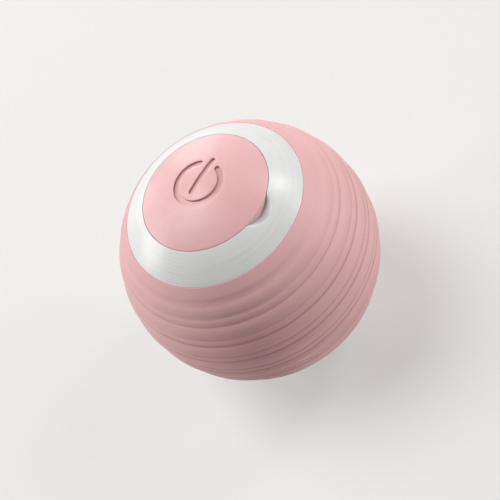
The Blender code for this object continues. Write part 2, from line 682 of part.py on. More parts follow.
def make_power_cap(shop):
    """Make the domed push cap with the cut power symbol."""
    inner_radius = FACE_RADIUS - CAP_WALL
    skirt_inner = CAP_RADIUS - CAP_SKIRT_WALL
    socket_inner = CARRIER_BOSS_RADIUS + SEAT_GAP
    socket_outer = socket_inner + CAP_SOCKET_WALL
    dome_end = pole_angle(FACE_RADIUS, CAP_RADIUS - FACE_ROUND)
    profile = sphere_arc(FACE_RADIUS, 0.0, dome_end, 6)
    profile.append((CAP_RADIUS, sphere_height(FACE_RADIUS, CAP_RADIUS) - FACE_ROUND))
    profile.append((CAP_RADIUS, CAP_SKIRT_BOTTOM))
    profile.append((skirt_inner, CAP_SKIRT_BOTTOM))
    skirt_angle = pole_angle(inner_radius, skirt_inner)
    profile += sphere_arc(inner_radius, skirt_angle, pole_angle(inner_radius, socket_outer), 4)
    profile.append((socket_outer, CAP_SKIRT_BOTTOM))
    profile.append((socket_inner, CAP_SKIRT_BOTTOM))
    profile.append((socket_inner, sphere_height(inner_radius, socket_inner)))
    profile.append((0.0, inner_radius))
    cap = shop.turned("power_cap", profile, material=shop.cap_pink)
    top = BALL_RADIUS + OVERRUN
    cut(cap, shop.flat("symbol_ring", [symbol_ring_points()], SYMBOL_FLOOR, top))
    cut(cap, shop.flat("symbol_bar", [symbol_bar_points()], SYMBOL_FLOOR, top))


def symbol_ring_points():
    """Return the outline of the power symbol's open ring, open towards +Y."""
    outer = SYMBOL_RING_RADIUS + SYMBOL_RING_WIDTH / 2
    inner = SYMBOL_RING_RADIUS - SYMBOL_RING_WIDTH / 2
    start = math.pi / 2 + SYMBOL_GAP_ANGLE
    sweep = 2 * math.pi - 2 * SYMBOL_GAP_ANGLE
    points = arc_points(outer, 0.0, 0.0, start, start + sweep, 20)
    points += end_round(start + sweep, 1)
    points += arc_points(inner, 0.0, 0.0, start + sweep, start, 20)
    points += end_round(start, -1)
    return points


def end_round(angle, direction):
    """Return the round end of the symbol's ring at an angle."""
    middle = polar(SYMBOL_RING_RADIUS, angle)
    start = angle if direction > 0 else angle + math.pi
    return arc_points(SYMBOL_RING_WIDTH / 2, middle.x, middle.y, start, start + math.pi, 6)[1:-1]


def symbol_bar_points():
    """Return the outline of the power symbol's bar."""
    half = SYMBOL_BAR_WIDTH / 2
    points = arc_points(half, 0.0, SYMBOL_BAR_TOP, 0.0, math.pi, 8)
    points += arc_points(half, 0.0, SYMBOL_BAR_BOTTOM, math.pi, 2 * math.pi, 8)
    return points


def make_button_carrier(shop):
    """Make the sprung plate that the cap clips on, with its stem to the switch."""
    boss_top = sphere_height(FACE_RADIUS - CAP_WALL, CARRIER_BOSS_RADIUS + SEAT_GAP) - CARRIER_BOSS_GAP
    profile = [
        (0.0, boss_top),
        (CARRIER_BOSS_RADIUS, boss_top),
        (CARRIER_BOSS_RADIUS, CARRIER_TOP),
        (CARRIER_RADIUS, CARRIER_TOP),
        (CARRIER_RADIUS, CARRIER_UNDER),
        (STEM_RADIUS, CARRIER_UNDER),
        (STEM_RADIUS, STEM_BOTTOM),
        (0.0, STEM_BOTTOM),
    ]
    carrier = shop.turned("button_carrier", profile, material=shop.natural)
    opening = slot_points(USB_WIDTH + 2 * SEAT_GAP, USB_DEPTH + 2 * SEAT_GAP, 0.0, USB_CENTRE_Y)
    plate_cut = (CARRIER_UNDER - OVERRUN, CARRIER_TOP + OVERRUN)
    cut(carrier, shop.flat("carrier_usb_slot", [opening], *plate_cut))
    cut(carrier, shop.rod("carrier_light_hole", LIGHT_PIPE_RADIUS, *plate_cut, place=LIGHT_PLACE))


def make_return_spring(shop):
    """Wind the spring that lifts the carrier, and print how near its turns come."""
    bottom = SPRING_POCKET_FLOOR + SEAT_GAP + SPRING_WIRE_RADIUS
    top = CARRIER_UNDER - SEAT_GAP - SPRING_WIRE_RADIUS
    count = int(SPRING_TURNS * SPRING_POINTS_A_TURN)
    route = []
    for step in range(count + 1):
        angle = 2 * math.pi * SPRING_TURNS * step / count
        route.append(polar(SPRING_RADIUS, angle, bottom + (top - bottom) * step / count))
    least = min(
        (first - second).length - 2 * SPRING_WIRE_RADIUS
        for index, first in enumerate(route)
        for second in route[index + SPRING_POINTS_A_TURN // 2 + 1 :]
    )
    print(f"return_spring least gap to itself {least / MM:.2f} mm")
    shop.wire("return_spring", route, SPRING_WIRE_RADIUS, shop.steel)


def make_switch(shop):
    """Make the push switch on the board and its plunger on the roll axis."""
    middle = (0.0, 0.0, BOARD_SEAT + SWITCH_HEIGHT / 2)
    body = shop.block("switch_body", (SWITCH_SIDE, SWITCH_SIDE, SWITCH_HEIGHT), middle, shop.black)
    well_bottom = BOARD_SEAT + SWITCH_FLOOR
    cut(body, shop.rod("switch_well", PLUNGER_RADIUS + SLIP_GAP, well_bottom, SWITCH_TOP + OVERRUN))
    plunger_bottom = PLUNGER_TOP - PLUNGER_LENGTH
    shop.rod("switch_plunger", PLUNGER_RADIUS, plunger_bottom, PLUNGER_TOP, material=shop.natural)


def make_board(shop):
    """Make the round circuit board."""
    outlines = [circle_points(BOARD_RADIUS, steps=ROUND_STEPS)]
    motor_hole = MOTOR_RADIUS + 2 * SEAT_GAP
    outlines.append(circle_points(motor_hole, MOTOR_PLACE.x, MOTOR_PLACE.y))
    for angle in BOARD_SCREW_ANGLES:
        place = polar(BOARD_SCREW_CIRCLE, angle)
        outlines.append(circle_points(SCREW_RADIUS + SEAT_GAP, place.x, place.y, SCREW_STEPS))
    shop.flat("main_board", outlines, BOARD_UNDER, BOARD_TOP, material=shop.green)


def make_usb_socket(shop):
    """Make the upright charging socket with its open mouth and tongue."""
    top = WELL_FLOOR_TOP - FACE_ROUND
    place = (0.0, USB_CENTRE_Y, 0.0)
    outer = slot_points(USB_WIDTH, USB_DEPTH)
    socket = shop.flat("usb_socket", [outer], BOARD_SEAT, top, place, shop.steel)
    mouth_bottom = top - USB_MOUTH_DEPTH
    inner = slot_points(USB_WIDTH - 2 * USB_WALL, USB_DEPTH - 2 * USB_WALL)
    cut(socket, shop.flat("usb_mouth", [inner], mouth_bottom, top + OVERRUN, place))
    tongue_bottom = mouth_bottom - EMBED
    tongue_top = top - EMBED
    size = (USB_TONGUE_WIDTH, USB_TONGUE_DEPTH, tongue_top - tongue_bottom)
    middle = (0.0, USB_CENTRE_Y, (tongue_top + tongue_bottom) / 2)
    join(socket, shop.block("usb_tongue", size, middle))


def make_board_parts(shop):
    """Make the light, its pipe, the control chip and the shake sensor."""
    led_middle = (LIGHT_PLACE.x, LIGHT_PLACE.y, BOARD_SEAT + LED_HEIGHT / 2)
    shop.block("status_led", (LED_SIDE, LED_SIDE, LED_HEIGHT), led_middle, shop.clear)
    pipe_bottom = BOARD_SEAT + LED_HEIGHT + SEAT_GAP
    pipe_top = WELL_FLOOR_TOP - FACE_ROUND
    flange_top = WELL_FLOOR_UNDER - SEAT_GAP
    profile = [
        (0.0, pipe_top),
        (LIGHT_PIPE_RADIUS, pipe_top),
        (LIGHT_PIPE_RADIUS, flange_top),
        (LIGHT_FLANGE_RADIUS, flange_top),
        (LIGHT_FLANGE_RADIUS, flange_top - LIGHT_FLANGE_WALL),
        (LIGHT_PIPE_RADIUS, flange_top - LIGHT_FLANGE_WALL),
        (LIGHT_PIPE_RADIUS, pipe_bottom),
        (0.0, pipe_bottom),
    ]
    shop.turned("light_pipe", profile, LIGHT_PLACE, shop.clear, SCREW_STEPS)
    chip_middle = (CHIP_X, 0.0, BOARD_SEAT + CHIP_HEIGHT / 2)
    shop.block("control_chip", (CHIP_SIDE, CHIP_SIDE, CHIP_HEIGHT), chip_middle, shop.black)
    place = polar(SENSOR_CIRCLE_RADIUS, SENSOR_ANGLE, BOARD_SEAT + SENSOR_RADIUS)
    half = SENSOR_LENGTH / 2
    sensor = shop.rod("shake_sensor", SENSOR_RADIUS, -half, half, place, shop.brass, SCREW_STEPS)
    sensor.rotation_euler = (math.pi / 2, 0.0, SENSOR_ANGLE)


def make_screw(shop, name, place, seat, length, radius, head_radius, head_height):
    """Make a screw that points up from a seat, its slotted head below."""
    head_bottom = seat - head_height
    profile = [
        (0.0, seat + length),
        (radius, seat + length - radius),
        (radius, seat),
        (head_radius, seat),
        (head_radius, head_bottom),
        (0.0, head_bottom),
    ]
    screw = shop.turned(name, profile, place, shop.steel, SCREW_STEPS)
    size = (2 * (head_radius + OVERRUN), SCREW_SLOT_WIDTH, 2 * SCREW_SLOT_DEPTH)
    cut(screw, shop.block(name + "_slot", size, (place.x, place.y, head_bottom)))


def make_shell_screws(shop):
    """Make the screws that hold the board and the middle frame."""
    sizes = (SCREW_LENGTH, SCREW_RADIUS, SCREW_HEAD_RADIUS, SCREW_HEAD_HEIGHT)
    for index, angle in enumerate(BOARD_SCREW_ANGLES):
        place = polar(BOARD_SCREW_CIRCLE, angle)
        make_screw(shop, f"board_screw_{index + 1}", place, BOARD_UNDER - SEAT_GAP, *sizes)
    for index, angle in enumerate(POST_ANGLES):
        place = polar(POST_CIRCLE, angle)
        make_screw(shop, f"frame_screw_{index + 1}", place, FRAME_UNDER - SEAT_GAP, *sizes)


def frame_outline():
    """Return the middle frame's edge: a disc with a round ear at each post."""
    ear_reach = math.asin(POST_RADIUS / FRAME_RADIUS)
    edge_steps = FRAME_STEPS // len(POST_ANGLES)
    turn = 2 * math.pi / len(POST_ANGLES)
    points = []
    for angle in POST_ANGLES:
        post = polar(POST_CIRCLE, angle)
        points += arc_points(POST_RADIUS, post.x, post.y, angle - math.pi / 2, angle + math.pi / 2, 8)
        edge_start = angle + ear_reach
        edge_end = angle + turn - ear_reach
        points += arc_points(FRAME_RADIUS, 0.0, 0.0, edge_start, edge_end, edge_steps)
    return points


def make_middle_frame(shop):
    """Make the plate between the shells that carries the motor and the battery."""
    outlines = [frame_outline()]
    outlines.append(circle_points(BUSH_RADIUS + SEAT_GAP))
    outlines.append(circle_points(MOTOR_NOSE_RADIUS + SEAT_GAP, MOTOR_PLACE.x, MOTOR_PLACE.y))
    outlines.append(circle_points(AXLE_RADIUS + SEAT_GAP, IDLER_PLACE.x, IDLER_PLACE.y, SCREW_STEPS))
    for angle in POST_ANGLES:
        place = polar(POST_CIRCLE, angle)
        outlines.append(circle_points(SCREW_RADIUS + SEAT_GAP, place.x, place.y, SCREW_STEPS))
    for angle in COVER_SCREW_ANGLES:
        place = polar(COVER_SCREW_CIRCLE, angle)
        outlines.append(circle_points(SMALL_SCREW_RADIUS + SEAT_GAP, place.x, place.y, SCREW_STEPS))
    frame = shop.flat("middle_frame", outlines, FRAME_UNDER, FRAME_TOP, material=shop.natural)
    cradle_inner = MOTOR_RADIUS + SEAT_GAP
    cradle_outer = cradle_inner + CRADLE_WALL
    profile = [
        (cradle_outer, FRAME_TOP + CRADLE_HEIGHT),
        (cradle_outer, FRAME_TOP - EMBED),
        (cradle_inner, FRAME_TOP - EMBED),
        (cradle_inner, FRAME_TOP + CRADLE_HEIGHT),
    ]
    join(frame, shop.turned("motor_cradle", profile, MOTOR_PLACE, steps=SMALL_STEPS, ring=True))
    rib_height = CRADLE_HEIGHT / 2 + EMBED
    for name, side in (("battery_rib_left", -1), ("battery_rib_right", 1)):
        rib_y = side * (BATTERY_LENGTH / 2 + SEAT_GAP + CRADLE_WALL / 2)
        rib_x = BATTERY_NEAR_X + BATTERY_ROUND + RIB_WIDTH / 2
        middle = (rib_x, rib_y, FRAME_TOP - EMBED + rib_height / 2)
        join(frame, shop.block(name, (RIB_WIDTH, CRADLE_WALL, rib_height), middle))


def make_battery(shop):
    """Make the flat battery and its two leads to the board."""
    middle_x = BATTERY_NEAR_X + BATTERY_WIDTH / 2
    middle = (middle_x, 0.0, FRAME_SEAT + BATTERY_HEIGHT / 2)
    size = (BATTERY_WIDTH, BATTERY_LENGTH, BATTERY_HEIGHT)
    battery = shop.block("battery_pack", size, middle, shop.silver)
    edge = battery.modifiers.new("edge", "BEVEL")
    edge.width = BATTERY_ROUND
    edge.segments = 2
    lead_end = BOARD_UNDER - SEAT_GAP
    for name, side, material in (("red", -1, shop.red), ("black", 1, shop.black)):
        x = middle_x + side * LEAD_SPACING / 2
        route = [
            (x, 0.0, BATTERY_TOP + SEAT_GAP),
            (x, 0.0, (BATTERY_TOP + lead_end) / 2),
            (x, LEAD_RADIUS, lead_end),
        ]
        shop.wire(f"battery_lead_{name}", route, LEAD_RADIUS, material)


def make_motor(shop):
    """Make the motor, its end cap, shaft, pinion and leads."""
    bore = MOTOR_SHAFT_RADIUS + SEAT_GAP
    bore_top = FRAME_SEAT + (MOTOR_TOP - FRAME_SEAT) / 3
    nose_bottom = FRAME_SEAT - MOTOR_NOSE_HEIGHT
    profile = [
        (0.0, MOTOR_TOP),
        (MOTOR_RADIUS - FACE_ROUND, MOTOR_TOP),
        (MOTOR_RADIUS, MOTOR_TOP - FACE_ROUND),
        (MOTOR_RADIUS, FRAME_SEAT),
        (MOTOR_NOSE_RADIUS, FRAME_SEAT),
        (MOTOR_NOSE_RADIUS, nose_bottom),
        (bore, nose_bottom),
        (bore, bore_top),
        (0.0, bore_top),
    ]
    shop.turned("motor_can", profile, MOTOR_PLACE, shop.steel, SMALL_STEPS)
    cap_bottom = MOTOR_TOP + SEAT_GAP
    shop.rod("motor_end_cap", MOTOR_CAP_RADIUS, cap_bottom, MOTOR_CAP_TOP, MOTOR_PLACE, shop.natural)
    shaft_top = bore_top - SEAT_GAP
    shaft_bottom = WHEEL_UNDER - SEAT_GAP
    shop.rod("motor_shaft", MOTOR_SHAFT_RADIUS, shaft_bottom, shaft_top, MOTOR_PLACE, shop.steel, SCREW_STEPS)
    to_idler = IDLER_PLACE - MOTOR_PLACE
    phase = math.atan2(to_idler.y, to_idler.x)
    outlines = [gear_points(PINION_TEETH, phase), circle_points(bore, steps=SCREW_STEPS)]
    shop.flat("motor_pinion", outlines, WHEEL_UNDER, WHEEL_TOP, MOTOR_PLACE, shop.brass)
    for name, side, material in (("red", -1, shop.red), ("black", 1, shop.black)):
        shop.wire(f"motor_lead_{name}", motor_lead_route(side), LEAD_RADIUS, material)


def motor_lead_route(side):
    """Return a lead's route from the motor's end cap down to the board."""
    start_height = MOTOR_CAP_TOP + SEAT_GAP
    angle = MOTOR_ANGLE + side * math.pi / 2
    away = polar(1.0, angle)
    landing = MOTOR_RADIUS + 3 * SEAT_GAP + LEAD_RADIUS
    start = MOTOR_PLACE + away * LEAD_SPACING / 2
    over = MOTOR_PLACE + away * landing
    return [
        (start.x, start.y, start_height + LEAD_RADIUS),
        *bent_corner(start, over, start_height + LEAD_BEND, LEAD_BEND),
        (over.x, over.y, (start_height + BOARD_SEAT) / 2),
        (over.x, over.y, BOARD_SEAT),
    ]


def bent_corner(start, over, height, bend):
    """Return a rounded turn from rising at the start to falling at the far place."""
    points = []
    steps = 6
    middle = (start + over) / 2
    reach = (over - start) / 2
    for step in range(steps + 1):
        angle = math.pi * (1 - step / steps)
        place = middle + reach * math.cos(angle)
        points.append((place.x, place.y, height - bend + bend * math.sin(angle)))
    return points


def make_gear_train(shop):
    """Make the idler with its axle, and the output wheel."""
    to_motor = MOTOR_PLACE - IDLER_PLACE
    to_output = -IDLER_PLACE
    wheel_phase = math.atan2(to_motor.y, to_motor.x) + math.pi / WHEEL_TEETH
    small_phase = math.atan2(to_output.y, to_output.x)
    output_phase = small_phase + math.pi + math.pi / WHEEL_TEETH
    axle_bore = circle_points(AXLE_RADIUS + SEAT_GAP, steps=SCREW_STEPS)
    wheel = gear_points(WHEEL_TEETH, wheel_phase)
    idler = shop.flat("idler_gear", [wheel, axle_bore], WHEEL_UNDER, WHEEL_TOP, IDLER_PLACE, shop.natural)
    small = [gear_points(PINION_TEETH, small_phase), axle_bore]
    small_top = WHEEL_UNDER + EMBED
    join(idler, shop.flat("idler_small_gear", small, OUTPUT_WHEEL_UNDER, small_top, IDLER_PLACE))
    axle_bottom = COVER_UNDER + COVER_FLOOR_WALL / 2
    shop.rod("idler_axle", AXLE_RADIUS, axle_bottom, FRAME_TOP, IDLER_PLACE, shop.steel, SCREW_STEPS)
    outlines = [gear_points(WHEEL_TEETH, output_phase)]
    outlines.append(circle_points(SHAFT_RADIUS + SEAT_GAP, steps=SMALL_STEPS))
    shop.flat("output_gear", outlines, OUTPUT_WHEEL_UNDER, OUTPUT_WHEEL_TOP, material=shop.natural)


def make_gearbox_cover(shop):
    """Make the cup that closes the gears, with its screw bosses and bush seat."""
    bush_seat = BUSH_RADIUS + SEAT_GAP
    profile = [
        (COVER_RADIUS, COVER_RIM),
        (COVER_RADIUS, COVER_UNDER),
        (bush_seat, COVER_UNDER),
        (bush_seat, COVER_FLOOR_INNER),
        (COVER_RADIUS - COVER_WALL, COVER_FLOOR_INNER),
        (COVER_RADIUS - COVER_WALL, COVER_RIM),
    ]
    cover = shop.turned("gearbox_cover", profile, material=shop.natural, ring=True)
    sizes = (SMALL_SCREW_RADIUS, SMALL_SCREW_HEAD_RADIUS, SMALL_SCREW_HEAD_HEIGHT)
    counterbore_top = COVER_UNDER + COUNTERBORE_DEPTH
    for index, angle in enumerate(COVER_SCREW_ANGLES):
        place = polar(COVER_SCREW_CIRCLE, angle)
        number = index + 1
        join(cover, shop.rod(f"cover_boss_{number}", COVER_BOSS_RADIUS, COVER_UNDER + EMBED, COVER_RIM, place))
        hole_radius = SMALL_SCREW_RADIUS + SEAT_GAP
        cut(cover, shop.rod(f"cover_hole_{number}", hole_radius, COVER_UNDER, COVER_RIM + OVERRUN, place))
        bore_radius = SMALL_SCREW_HEAD_RADIUS + SEAT_GAP
        bore_bottom = COVER_UNDER - OVERRUN
        cut(cover, shop.rod(f"counterbore_{number}", bore_radius, bore_bottom, counterbore_top, place))
        seat = counterbore_top - SEAT_GAP
        make_screw(shop, f"gearbox_screw_{number}", place, seat, FRAME_TOP - seat, *sizes)
    axle_hole_bottom = COVER_UNDER + COVER_FLOOR_WALL / 2 - SEAT_GAP
    axle_hole = shop.rod(
        "cover_axle_hole", AXLE_RADIUS + SEAT_GAP, axle_hole_bottom, COVER_FLOOR_INNER + OVERRUN, IDLER_PLACE
    )
    cut(cover, axle_hole)


def make_bush(shop, name, top, bottom, flange_at_top):
    """Make a flanged bush that runs on the output shaft."""
    bore = SHAFT_RADIUS + SLIP_GAP
    if flange_at_top:
        side = [
            (BUSH_FLANGE_RADIUS, top),
            (BUSH_FLANGE_RADIUS, top - BUSH_FLANGE_WALL),
            (BUSH_RADIUS, top - BUSH_FLANGE_WALL),
            (BUSH_RADIUS, bottom),
        ]
    else:
        side = [
            (BUSH_RADIUS, top),
            (BUSH_RADIUS, bottom + BUSH_FLANGE_WALL),
            (BUSH_FLANGE_RADIUS, bottom + BUSH_FLANGE_WALL),
            (BUSH_FLANGE_RADIUS, bottom),
        ]
    shop.turned(name, side + [(bore, bottom), (bore, top)], material=shop.brass, steps=SMALL_STEPS, ring=True)


def make_output(shop):
    """Make the output shaft, its two bushes, the hub, the weight and its screws."""
    upper_top = FRAME_SEAT + BUSH_FLANGE_WALL
    make_bush(shop, "upper_bush", upper_top, FRAME_UNDER, True)
    lower_bottom = COVER_UNDER - SEAT_GAP / 2 - BUSH_FLANGE_WALL
    make_bush(shop, "lower_bush", COVER_FLOOR_INNER, lower_bottom, False)
    shaft_bottom = WEIGHT_BOTTOM + SEAT_GAP
    shop.rod("output_shaft", SHAFT_RADIUS, shaft_bottom, upper_top + SEAT_GAP, material=shop.steel)
    bore = SHAFT_RADIUS + SEAT_GAP
    hub_top = lower_bottom - SEAT_GAP
    flange_under = hub_top - HUB_FLANGE_WALL
    profile = [
        (HUB_FLANGE_RADIUS, hub_top),
        (HUB_FLANGE_RADIUS, flange_under),
        (HUB_RADIUS, flange_under),
        (HUB_RADIUS, shaft_bottom),
        (bore, shaft_bottom),
        (bore, hub_top),
    ]
    hub = shop.turned("weight_hub", profile, material=shop.brass, steps=SMALL_STEPS, ring=True)
    weight_top = flange_under - SEAT_GAP
    weight = make_weight(shop, weight_top)
    hole_radius = SMALL_SCREW_RADIUS + SEAT_GAP
    bore_radius = SMALL_SCREW_HEAD_RADIUS + SEAT_GAP
    seat = weight_top - WEIGHT_SEAT_SHARE * (weight_top - WEIGHT_BOTTOM)
    screw_length = hub_top - FACE_ROUND - seat
    sizes = (SMALL_SCREW_RADIUS, SMALL_SCREW_HEAD_RADIUS, SMALL_SCREW_HEAD_HEIGHT)
    for index, angle in enumerate(WEIGHT_SCREW_ANGLES):
        place = polar(WEIGHT_SCREW_CIRCLE, angle)
        number = index + 1
        cut(hub, shop.rod(f"hub_hole_{number}", hole_radius, flange_under - OVERRUN, hub_top + OVERRUN, place))
        cut(weight, shop.rod(f"weight_hole_{number}", hole_radius, seat, weight_top + OVERRUN, place))
        bore_bottom = WEIGHT_BOTTOM - OVERRUN
        bore_top = seat + SEAT_GAP
        cut(weight, shop.rod(f"weight_bore_{number}", bore_radius, bore_bottom, bore_top, place))
        make_screw(shop, f"weight_screw_{number}", place, seat, screw_length, *sizes)


def make_weight(shop, weight_top):
    """Make the half round steel weight, rounded to the shell's inside."""
    swing_radius = CAVITY_RADIUS - WEIGHT_CLEARANCE
    inner = HUB_RADIUS + SEAT_GAP
    shoulder_height = weight_top - WEIGHT_RIM_HEIGHT
    rim_radius = sphere_height(swing_radius, shoulder_height)
    shoulder_angle = math.acos(shoulder_height / swing_radius)
    bottom_angle = math.acos(WEIGHT_BOTTOM / swing_radius)
    profile = [(rim_radius, weight_top)]
    profile += sphere_arc(swing_radius, shoulder_angle, bottom_angle, 6)
    profile.append((inner, WEIGHT_BOTTOM))
    profile.append((inner, weight_top))
    weight = shop.turned("swing_weight", profile, material=shop.steel, ring=True)
    reach = 2 * (rim_radius + OVERRUN)
    depth = weight_top - WEIGHT_BOTTOM + 2 * OVERRUN
    middle = (0.0, -reach / 2, (weight_top + WEIGHT_BOTTOM) / 2)
    cut(weight, shop.block("weight_half", (reach, reach, depth), middle))
    return weight


def build():
    """Build every piece of the ball."""
    clear_scene()
    shop = Workshop()
    make_sleeve(shop)
    make_upper_shell(shop)
    make_lower_shell(shop)
    make_lower_cap(shop)
    make_power_cap(shop)
    make_button_carrier(shop)
    make_return_spring(shop)
    make_switch(shop)
    make_board(shop)
    make_usb_socket(shop)
    make_board_parts(shop)
    make_shell_screws(shop)
    make_middle_frame(shop)
    make_battery(shop)
    make_motor(shop)
    make_gear_train(shop)
    make_gearbox_cover(shop)
    make_output(shop)


build()
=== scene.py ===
"""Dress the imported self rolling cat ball: fine turned meshes, moulded finishes and a plain studio."""

import json
import logging
import math
from bisect import bisect_right
from dataclasses import dataclass, field
from enum import Enum

import bmesh
import bpy
from mathutils import Matrix, Vector
from mathutils.geometry import delaunay_2d_cdt


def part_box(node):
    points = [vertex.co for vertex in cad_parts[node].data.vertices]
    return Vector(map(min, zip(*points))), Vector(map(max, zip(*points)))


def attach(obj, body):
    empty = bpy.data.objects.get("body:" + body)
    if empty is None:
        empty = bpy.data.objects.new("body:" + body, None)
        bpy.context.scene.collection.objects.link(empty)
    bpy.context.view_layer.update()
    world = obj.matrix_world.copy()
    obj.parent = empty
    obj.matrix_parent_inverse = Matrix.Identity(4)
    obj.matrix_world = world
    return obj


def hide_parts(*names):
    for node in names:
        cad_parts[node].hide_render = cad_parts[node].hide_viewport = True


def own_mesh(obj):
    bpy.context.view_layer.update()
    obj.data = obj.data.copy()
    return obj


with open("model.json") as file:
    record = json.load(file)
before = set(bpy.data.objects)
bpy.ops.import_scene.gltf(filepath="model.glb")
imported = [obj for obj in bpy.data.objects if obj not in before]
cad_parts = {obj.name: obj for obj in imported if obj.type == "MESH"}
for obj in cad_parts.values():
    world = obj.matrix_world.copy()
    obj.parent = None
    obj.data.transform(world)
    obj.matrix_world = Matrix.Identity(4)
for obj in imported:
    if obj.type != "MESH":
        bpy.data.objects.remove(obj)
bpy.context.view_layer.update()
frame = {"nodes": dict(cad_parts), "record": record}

LOG = logging.getLogger("cat_ball")

# The ball's sizes are in millimetres from its centre, and its angles in degrees from the roll axis
MM = 0.001
SHELL_RADIUS = 21.4
CORE_RADIUS = 19.7
REST_FLAT_RADIUS = 5.0
CENTRE_HEIGHT = math.sqrt(SHELL_RADIUS**2 - REST_FLAT_RADIUS**2)
CENTRE = Vector((0.0, 0.0, CENTRE_HEIGHT * MM))
ON_AXIS = 1e-6
SHARP_EDGE = 32.0
SLIVER = 5e-7

# The distances and angles at which the board's bosses and the frame's posts stand
BOSSES = (11.5, (90, 210, 330))
POSTS = (15.9, (60, 180, 300))

# How eased corners are drawn
CORNER_TURN = math.radians(24)
CORNER_SHARE = 0.42
CORNER_STEPS = 4
CORNER_MARGIN = 1.02

Place = tuple[float, float]
Profile = list[Place]
Triple = tuple[float, float, float]
Colour = tuple[float, float, float, float]
Form = bmesh.types.BMesh
Ring = list[bmesh.types.BMVert]
Piece = bpy.types.Object
Socket = bpy.types.NodeSocket


class Body(Enum):
    """The moving bodies that new pieces ride on."""

    BALL = "ball"
    CAP = "cap"


class Slot(Enum):
    """The material slots that the record names."""

    SLEEVE = "sleeve_silicone"
    CAP = "cap_plastic"
    SHELL = "shell_plastic"
    INNER = "inner_plastic"
    STEEL = "steel"
    BRASS = "brass"
    BOARD = "board"
    BLACK = "black_plastic"
    BATTERY = "battery_wrap"
    CLEAR = "clear_plastic"
    RED_LEAD = "red_lead"


def linear(level: int) -> float:
    """Return a screen's level, 0 to 255, as linear light."""
    share = level / 255
    return share / 12.92 if share <= 0.04045 else ((share + 0.055) / 1.055) ** 2.4


def tint(red: int, green: int, blue: int) -> Colour:
    """Return a colour, given in a screen's levels, as linear light with full alpha."""
    return (linear(red), linear(green), linear(blue), 1.0)


def smooth(share: float) -> float:
    """Return a share, held between 0 and 1 and eased towards both."""
    held = min(max(share, 0.0), 1.0)
    return held * held * (3 - 2 * held)


def polar(radius: float, degrees: float) -> Place:
    """Return a place at a distance and an angle round the roll axis."""
    angle = math.radians(degrees)
    return (radius * math.cos(angle), radius * math.sin(angle))


def bend(middle: Place, radius: float, start: float, end: float, steps: int) -> Profile:
    """Return points round a middle, in even steps between two angles from the first axis."""
    places = [polar(radius, start + (end - start) * step / steps) for step in range(steps + 1)]
    return [(middle[0] + across, middle[1] + over) for across, over in places]


def arc(radius: float, start: float, end: float, steps: int) -> Profile:
    """Return a sphere's outline, as (distance from the roll axis, height), between two angles."""
    return bend((0.0, 0.0), radius, 90 - start, 90 - end, steps)


def sphere_height(radius: float, distance: float) -> float:
    """Return the height of a sphere's surface at a distance from the roll axis."""
    return math.sqrt(radius * radius - distance * distance)


def axis_angle(radius: float, distance: float) -> float:
    """Return a sphere's angle from the roll axis at a distance from that axis."""
    return math.degrees(math.asin(distance / radius))


def height_angle(radius: float, height: float) -> float:
    """Return a sphere's angle from the roll axis at a height."""
    return math.degrees(math.acos(height / radius))


def eased(profile: Profile, radius: float, closed: bool = True) -> Profile:
    """Round the sharp corners of a profile, as a mould does.

    Args:
        profile: The outline, in order.
        radius: How far from a corner its rounding starts.
        closed: True if the last point joins the first.

    Returns:
        The outline with its corners rounded.
    """
    points = [Vector(point) for point in profile]
    count = len(points)
    ahead = points[1:] + points[:1]
    spans = [(after - point).length for point, after in zip(points, ahead)]
    starts = [sum(spans[:index]) for index in range(count)]
    total = sum(spans)

    def along(place: float) -> Vector:
        """Return the point at a distance along the outline."""
        index = bisect_right(starts, place % total) - 1
        return points[index].lerp(ahead[index], (place % total - starts[index]) / spans[index])

    def apart(first: int, second: int) -> float:
        """Return the shorter way along the outline between two of its points."""
        gap = abs(starts[first] - starts[second])
        return min(gap, total - gap)

    corners = []
    for index, point in enumerate(points):
        turn = (point - points[index - 1]).angle(ahead[index] - point, 0.0)
        if turn > CORNER_TURN and (closed or 0 < index < count - 1):
            corners.append(index)
    stops = corners if closed else [0, *corners, count - 1]
    reach = {}
    for index in corners:
        room = min(apart(index, other) for other in stops if other != index)
        reach[index] = min(radius, CORNER_SHARE * room)
    rounded = []
    for index, point in enumerate(points):
        if index in reach:
            start, end = along(starts[index] - reach[index]), along(starts[index] + reach[index])
            for step in range(CORNER_STEPS + 1):
                share = step / CORNER_STEPS
                rounded.append(tuple(start.lerp(point, share).lerp(point.lerp(end, share), share)))
        elif all(apart(index, corner) > reach[corner] * CORNER_MARGIN for corner in corners):
            rounded.append(tuple(point))
    return rounded


def ring_of(form: Form, radius: float, height: float, segments: int) -> Ring:
    """Return a new ring of vertices round the roll axis, or one vertex on it."""
    places = [(0.0, 0.0)] if radius < ON_AXIS else bend((0.0, 0.0), radius, 0, 360, segments)[:-1]
    return [form.verts.new((x, y, height)) for x, y in places]


def skin(form: Form, rings: list[Ring]) -> None:
    """Put faces between rings, each to the next.

    Args:
        form: The form being made.
        rings: The rings in order, of which a lone vertex closes the form to a point.
    """
    for upper, lower in zip(rings, rings[1:]):
        count = max(len(upper), len(lower))
        for index in range(count):
            after = (index + 1) % count
            pairs = ((upper, index), (lower, index), (lower, after), (upper, after))
            corners = dict.fromkeys(ring[place % len(ring)] for ring, place in pairs)
            form.faces.new(list(corners))


def turned(profile: Profile, segments: int, closed: bool = True) -> Form:
    """Turn a profile round the roll axis.

    Args:
        profile: The outline as (distance from the axis, height above the centre).
        segments: The number of steps round the axis.
        closed: True for a ring, False for a form whose ends are on the axis.

    Returns:
        The turned form.
    """
    form = bmesh.new()
    rings = [ring_of(form, radius, height, segments) for radius, height in profile]
    skin(form, rings + rings[:1] if closed else rings)
    return form


